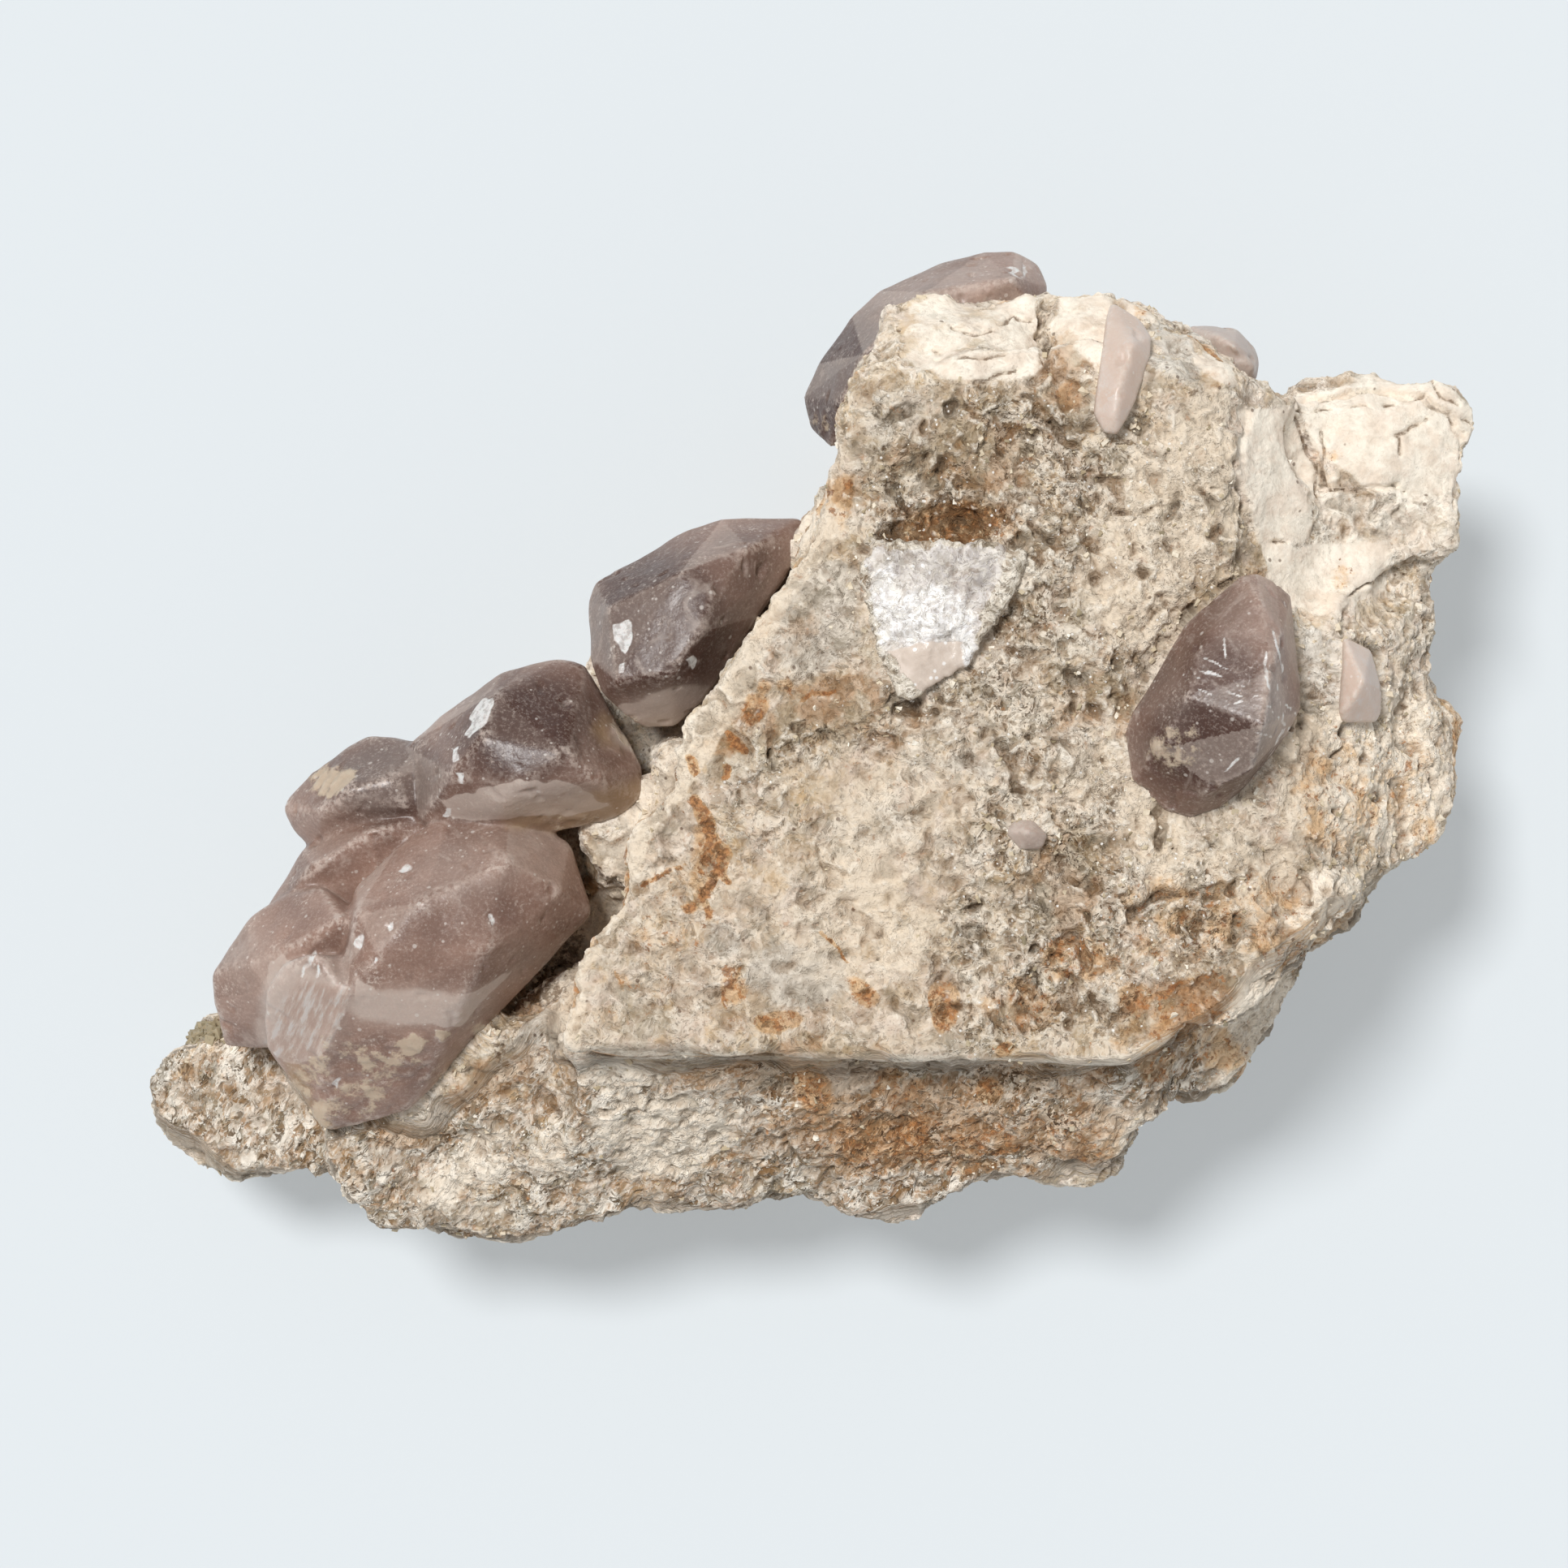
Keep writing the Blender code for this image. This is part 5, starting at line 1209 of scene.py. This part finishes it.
    # Painted reflections, white chips and scratches.
    glint = calc(tree, "MULTIPLY", ease(tree, mask(tree, "glint"), 0.3, 0.8),
                 ease(tree, cloud(tree, vector, 0.9, 4.0, 0.7), 0.4, 0.56, 0.55, 1.0))
    colour_ = blend(tree, glint, colour_, shade(255, 252, 248))
    tree.links.new(colour_, surface.inputs["Base Color"])
    rough = calc(tree, "ADD", 0.34, calc(tree, "MULTIPLY", ease(tree, wisps, 0.4, 0.7), 0.14))
    rough = calc(tree, "ADD", rough, calc(tree, "MULTIPLY", crust["Mask"], 0.4))
    tree.links.new(rough, surface.inputs["Roughness"])
    surface.inputs["IOR"].default_value = CALCITE_IOR
    surface.inputs["Specular IOR Level"].default_value = 0.3
    surface.inputs["Transmission Weight"].default_value = transmission
    surface.inputs["Subsurface Weight"].default_value = 0.35
    surface.inputs["Subsurface Radius"].default_value = (1.0, 0.75, 0.7)
    surface.inputs["Subsurface Scale"].default_value = 0.002
    fine = cloud(tree, vector, 0.5, 3.0, 0.6)
    rise = calc(tree, "ADD", calc(tree, "MULTIPLY", fine, 0.25), calc(tree, "MULTIPLY", crust["Mask"], 0.6))
    rise = calc(tree, "ADD", rise, calc(tree, "MULTIPLY", wisps, 0.4))
    rise = calc(tree, "ADD", rise, calc(tree, "MULTIPLY", striae, calc(tree, "MULTIPLY", lines, 1.4)))
    rise = calc(tree, "ADD", rise, calc(tree, "MULTIPLY", cloud(tree, vector, 2.2, 3.0, 0.6), 0.8))
    bump = put(tree, "ShaderNodeBump", {"Height": rise, "Strength": 0.5, "Distance": 0.0003})
    tree.links.new(bump.outputs["Normal"], surface.inputs["Normal"])
    return material


def mauve_material(settings):
    """The cloudy mauve of the large crystals."""
    return crystal_material("Mauve calcite", settings, settings.mauve, settings.deep, settings.veil, 0.3, 0.35)


def pale_material(settings):
    """The paler, rosy finish of the cleaved slivers."""
    return crystal_material(
        "Pale calcite", settings, settings.blush, shade(206, 182, 166), settings.spar, 0.15, 0.5)


class SPECIMEN_OT_crystals(Operator):
    """Cloudy mauve crystals along the rock"""
    bl_idname = "specimen.crystals"
    bl_label = "Mauve crystals"

    def execute(self, context):
        settings = context.scene.specimen_crystals
        material = mauve_material(settings)
        for node in MAUVE_NODES:
            mesh = cut_crystal(node, settings)
            mesh.materials.append(material)
            show(node.replace("crystal_", "calcite_"), mesh, "mauve_calcite", node)
        return {"FINISHED"}


class SPECIMEN_OT_slivers(Operator):
    """Pale cleaved slivers in the rim and the flank"""
    bl_idname = "specimen.slivers"
    bl_label = "Pale slivers"

    def execute(self, context):
        settings = context.scene.specimen_crystals
        material = pale_material(settings)
        for node in SLIVER_NODES:
            mesh = cut_crystal(node, settings)
            mesh.materials.append(material)
            show(node.replace("sliver_", "pale_sliver_"), mesh, "pale_calcite", node)
        return {"FINISHED"}


def spar_material(settings, powder_and_highlight):
    """White, sugary spar with a blushing cleaved tip, whose rim is hidden under crumbs of the rock."""
    material, tree, surface, vector = new_material("White spar")
    crumble, stain = crumble_group(powder_and_highlight), stain_group()
    veil = cloud(tree, vector, 3.5, 4.0, 0.6)
    colour_ = blend(tree, ease(tree, veil, 0.38, 0.6), shade(206, 198, 192), settings.spar)
    colour_ = blend(tree, calc(tree, "MULTIPLY", mask(tree, "dull"), ease(tree, veil, 0.3, 0.62, 1.0, 0.45)), colour_,
                    shade(176, 168, 164))
    white = use_group(tree, stain, Mask=mask(tree, "white"), Vector=vector, Scale=420.0, Ragged=1.6, Level=0.5)["Mask"]
    colour_ = blend(tree, calc(tree, "MULTIPLY", white, 0.85), colour_, shade(252, 250, 249))
    tip = use_group(tree, stain, Mask=mask(tree, "tip"), Vector=vector, Scale=300.0, Ragged=0.5, Level=0.5)["Mask"]
    colour_ = blend(tree, calc(tree, "MULTIPLY", tip, 0.85), colour_, shade(212, 194, 178))
    amount = calc(tree, "SUBTRACT", 0.42, calc(tree, "MULTIPLY", tip, 0.36))
    sugar = use_group(tree, crumble, Vector=vector, Base=colour_, Amount=amount)
    rock = use_group(tree, crumble, Vector=vector, Base=(*shade(214, 202, 184), 1.0), Amount=0.8)
    rim = use_group(tree, stain, Mask=mask(tree, "rim"), Vector=vector, Scale=420.0, Ragged=2.2, Level=0.62)["Mask"]
    colour_ = blend(tree, rim, sugar["Color"], rock["Color"])
    specks = use_group(tree, speck_group(), Vector=vector, Scale=1300.0, Share=0.16, Size=0.34)["Mask"]
    colour_ = blend(tree, calc(tree, "MULTIPLY", specks, 0.7), colour_, shade(255, 254, 252))
    tree.links.new(colour_, surface.inputs["Base Color"])
    gloss = calc(tree, "MAXIMUM", specks, calc(tree, "MULTIPLY", white, 0.6))
    tree.links.new(ease(tree, gloss, 0.0, 1.0, 0.55, 0.18), surface.inputs["Roughness"])
    surface.inputs["IOR"].default_value = CALCITE_IOR
    surface.inputs["Subsurface Weight"].default_value = 0.2
    surface.inputs["Subsurface Radius"].default_value = (1.0, 0.95, 0.9)
    surface.inputs["Subsurface Scale"].default_value = 0.001
    rise = calc(tree, "MAXIMUM", sugar["Height"], calc(tree, "MULTIPLY", rock["Height"], rim))
    bump = put(tree, "ShaderNodeBump", {"Height": rise, "Strength": 0.8, "Distance": 0.0006})
    tree.links.new(bump.outputs["Normal"], surface.inputs["Normal"])
    return material


class SPECIMEN_OT_spar(Operator):
    """White spar in the middle of the broken face"""
    bl_idname = "specimen.spar"
    bl_label = "White spar"

    def execute(self, context):
        settings = context.scene.specimen_crystals
        mesh = reworked(merged_copy("spar_white"), "REMESH", mode="VOXEL", voxel_size=SPAR_VOXEL)
        smoothed(mesh, 3)
        points, normals = points_of(mesh), normals_of(mesh)
        place = seen_place(points)
        ragged = place + 7 * waves(points, 0.003) + 5 * waves(points, 0.0012)
        tip = zone(ragged, [(1091, 800), (1191, 785), (1185, 830), (1130, 872), (1100, 850)], 8)
        rim = 1 - zone(ragged, SPAR_RIM, 6)
        _, crumbs, flakes, _, chunks = relief(points, np.ones(len(points), bool))
        push = (crumbs * 0.0005 + flakes * 0.0002 + chunks * 0.0004) * (1 - 0.7 * tip) + 0.0003 * rim
        put_points(mesh, points + normals * (0.0001 + push)[:, None])
        keep_mask(mesh, "tip", tip)
        keep_mask(mesh, "dull", spots(ragged, [(1200, 705, 50, 26, 0, 1.0), (1096, 700, 20, 30, 0, 0.8)]))
        keep_mask(mesh, "rim", rim)
        white = [(1150, 765, 50, 40, 0, 1.0), (1090, 745, 26, 56, 0, 0.9), (1180, 800, 20, 26, 0, 0.8)]
        keep_mask(mesh, "white", spots(ragged, white))
        smooth_faces(mesh)
        mesh.materials.append(spar_material(settings, context.scene.specimen_rock.powder_and_highlight))
        show("white_spar", mesh, "white_spar", "spar_white")
        return {"FINISHED"}


# ---------------------------------------------------------------- grains


def grain_material():
    """Small grains, cream to grey-green, some of them glassy."""
    material, tree, surface, vector = new_material("Loose grains")
    tone = mask(tree, "tone")
    colour_ = blend(tree, ease(tree, tone, 0.0, 0.35), shade(150, 138, 112), shade(196, 180, 150))
    colour_ = blend(tree, ease(tree, tone, 0.3, 0.7), colour_, shade(226, 212, 188))
    colour_ = blend(tree, ease(tree, tone, 0.75, 1.0), colour_, shade(252, 246, 232))
    mottle = cloud(tree, vector, 0.6, 2.0, 0.6)
    colour_ = blend(tree, ease(tree, mottle, 0.45, 0.7, 0.0, 0.4), colour_, shade(176, 156, 122))
    tree.links.new(colour_, surface.inputs["Base Color"])
    tree.links.new(ease(tree, tone, 0.1, 0.9, 0.4, 0.75), surface.inputs["Roughness"])
    bump = put(tree, "ShaderNodeBump", {"Height": mottle, "Strength": 0.4, "Distance": 0.0001})
    tree.links.new(bump.outputs["Normal"], surface.inputs["Normal"])
    return material


def add_grains(work, chance, spots_, count, smallest, largest, tones):
    """Adds small irregular shards of rock on the chosen points; spots_ holds points, normals and weights."""
    where, towards, weight = spots_
    order = np.cumsum(weight / weight.sum())
    for start in range(0, count, GRAIN_BATCH):
        batch = bmesh.new()
        tone = batch.verts.layers.float.new("tone")
        for _ in range(min(GRAIN_BATCH, count - start)):
            index = min(int(np.searchsorted(order, chance.random())), len(where) - 1)
            size = smallest + (largest - smallest) * chance.random() ** 2.2
            stretch = Matrix.Diagonal((size * chance.uniform(0.8, 1.6), size, size * chance.uniform(0.35, 0.8), 1.0))
            turn = Matrix.Rotation(chance.uniform(0, 6.28), 4, Vector([chance.uniform(-1, 1) for _ in range(3)]))
            spot = Vector(where[index]) + Vector(towards[index]) * size * GRAIN_SEAT
            made = bmesh.ops.create_cube(batch, size=1.0, matrix=Matrix.Translation(spot) @ turn @ stretch)
            value = chance.choice(tones) + chance.uniform(-0.12, 0.12)
            for corner in made["verts"]:
                corner.co += Vector([chance.uniform(-0.24, 0.24) for _ in range(3)]) * size
                corner[tone] = min(max(value, 0.0), 1.0)
        mesh = bpy.data.meshes.new("batch")
        batch.to_mesh(mesh)
        batch.free()
        work.from_mesh(mesh)
        bpy.data.meshes.remove(mesh)


class SPECIMEN_OT_grains(Operator):
    """Small grains on the sugary rock, crumbs beside the crystals and a druse on the lobe"""
    bl_idname = "specimen.grains"
    bl_label = "Grains"

    def execute(self, context):
        settings = context.scene.specimen_grains
        rocks = [bpy.data.objects.get(name) for name in ROCK_PIECES]
        if None in rocks:
            raise RuntimeError("the grains need the rock")
        points = np.concatenate([points_of(rock.data) for rock in rocks])
        normals = np.concatenate([normals_of(rock.data) for rock in rocks])
        masks = {name: np.concatenate([mask_of(rock.data, name) for rock in rocks]) for name in ROCK_MASKS}
        tree = crystal_tree()
        near = np.array([tree.find_nearest(Vector(p), CRUMB_REACH)[0] is not None for p in points], float)
        chance = random.Random(7)
        share = 1.0
        work = bmesh.new()
        rough = masks["sugary"] + 0.35 * masks["slab"] + 0.1 * masks["side"] + 0.02
        rough = rough * (1 - masks["plates"]) * (1 - 0.9 * masks["side"] * (points[:, 2] < 0.004))
        add_grains(work, chance, (points, normals, rough), int(settings.face_grains * share),
                   settings.smallest, settings.largest, (0.1, 0.3, 0.45, 0.55, 0.62, 0.9))
        beside = near * masks["front"] * (1 - masks["plates"]) + 1e-6
        add_grains(work, chance, (points, normals, beside), int(settings.contact_grains * share),
                   settings.smallest, settings.largest * 1.2, (0.5, 0.7, 0.9))
        druse = spots(seen_place(points), [(253, 1273, 26, 10, 10, 1.0)]) * (normals[:, 2] > -0.2) + 1e-9
        add_grains(work, chance, (points, normals, druse), 160, 0.0005, 0.0012, (0.0, 0.05))
        mesh = bpy.data.meshes.new("grains")
        work.to_mesh(mesh)
        work.free()
        low, high = np.array(CAD_BOX[0]), np.array(CAD_BOX[1])
        put_points(mesh, np.clip(points_of(mesh), low, high))
        mesh.materials.append(grain_material())
        show("rock_grains", mesh, "matrix_rock")
        return {"FINISHED"}


# ---------------------------------------------------------------- the stage


class SPECIMEN_OT_stage(Operator):
    """Plain pale floor, soft lamp, even fill and the camera straight above"""
    bl_idname = "specimen.stage"
    bl_label = "Stage"

    def execute(self, context):
        settings = context.scene.specimen_stage
        scene = context.scene
        scene.view_settings.view_transform = "Standard"
        scene.view_settings.look = "None"
        mesh = bpy.data.meshes.new("floor")
        work = bmesh.new()
        bmesh.ops.create_grid(work, x_segments=1, y_segments=1, size=2.0)
        work.to_mesh(mesh)
        work.free()
        material, _, surface, _ = new_material("Floor")
        surface.inputs["Base Color"].default_value = (*settings.floor, 1.0)
        surface.inputs["Roughness"].default_value = 0.95
        surface.inputs["Specular IOR Level"].default_value = 0.0
        surface.inputs["Emission Color"].default_value = (*settings.floor, 1.0)
        surface.inputs["Emission Strength"].default_value = settings.glow
        mesh.materials.append(material)
        floor = bpy.data.objects.new("floor", mesh)
        scene.collection.objects.link(floor)

        lamp = bpy.data.lights.new("soft lamp", "SUN")
        lamp.angle = settings.lamp_spread
        lamp.energy = settings.lamp_strength
        holder = bpy.data.objects.new("soft lamp", lamp)
        scene.collection.objects.link(holder)
        away = math.sin(settings.lamp_tilt)
        beam = Vector((0.66 * away, -0.75 * away, -math.cos(settings.lamp_tilt)))
        holder.rotation_euler = beam.to_track_quat("-Z", "Y").to_euler()

        sky = bpy.data.worlds.new("even fill")
        sky.use_nodes = True
        light = sky.node_tree.nodes["Background"]
        light.inputs["Color"].default_value = (1.0, 1.0, 1.0, 1.0)
        light.inputs["Strength"].default_value = settings.sky_strength
        scene.world = sky

        eye = bpy.data.cameras.new("camera")
        eye.lens = settings.lens
        eye.sensor_width = 36.0
        eye.clip_start = 0.01
        viewer = bpy.data.objects.new("camera", eye)
        viewer.location = EYE
        scene.collection.objects.link(viewer)
        scene.camera = viewer
        return {"FINISHED"}


class SPECIMEN_PT_pieces(Panel):
    """Lists the specimen's pieces in the sidebar"""
    bl_idname = "SPECIMEN_PT_pieces"
    bl_label = "Calcite specimen"
    bl_space_type = "VIEW_3D"
    bl_region_type = "UI"
    bl_category = "Specimen"

    def draw(self, context):
        column = self.layout.column(align=True)
        for step in STEPS:
            column.operator(step.bl_idname)


STEPS = (SPECIMEN_OT_stage, SPECIMEN_OT_rock, SPECIMEN_OT_crystals, SPECIMEN_OT_slivers, SPECIMEN_OT_spar,
         SPECIMEN_OT_grains)
SETTINGS = {"specimen_rock": RockSettings, "specimen_crystals": CrystalSettings, "specimen_grains": GrainSettings,
            "specimen_stage": StageSettings}


def register():
    for group in SETTINGS.values():
        bpy.utils.register_class(group)
    for name, group in SETTINGS.items():
        setattr(bpy.types.Scene, name, PointerProperty(type=group))
    for step in STEPS + (SPECIMEN_PT_pieces,):
        bpy.utils.register_class(step)


def unregister():
    for step in reversed(STEPS + (SPECIMEN_PT_pieces,)):
        bpy.utils.unregister_class(step)
    for name in SETTINGS:
        delattr(bpy.types.Scene, name)
    for group in SETTINGS.values():
        bpy.utils.unregister_class(group)


def main():
    register()
    bpy.ops.specimen.stage()
    bpy.ops.specimen.rock()
    bpy.ops.specimen.crystals()
    bpy.ops.specimen.slivers()
    bpy.ops.specimen.spar()
    bpy.ops.specimen.grains()


if __name__ == "__main__":
    main()
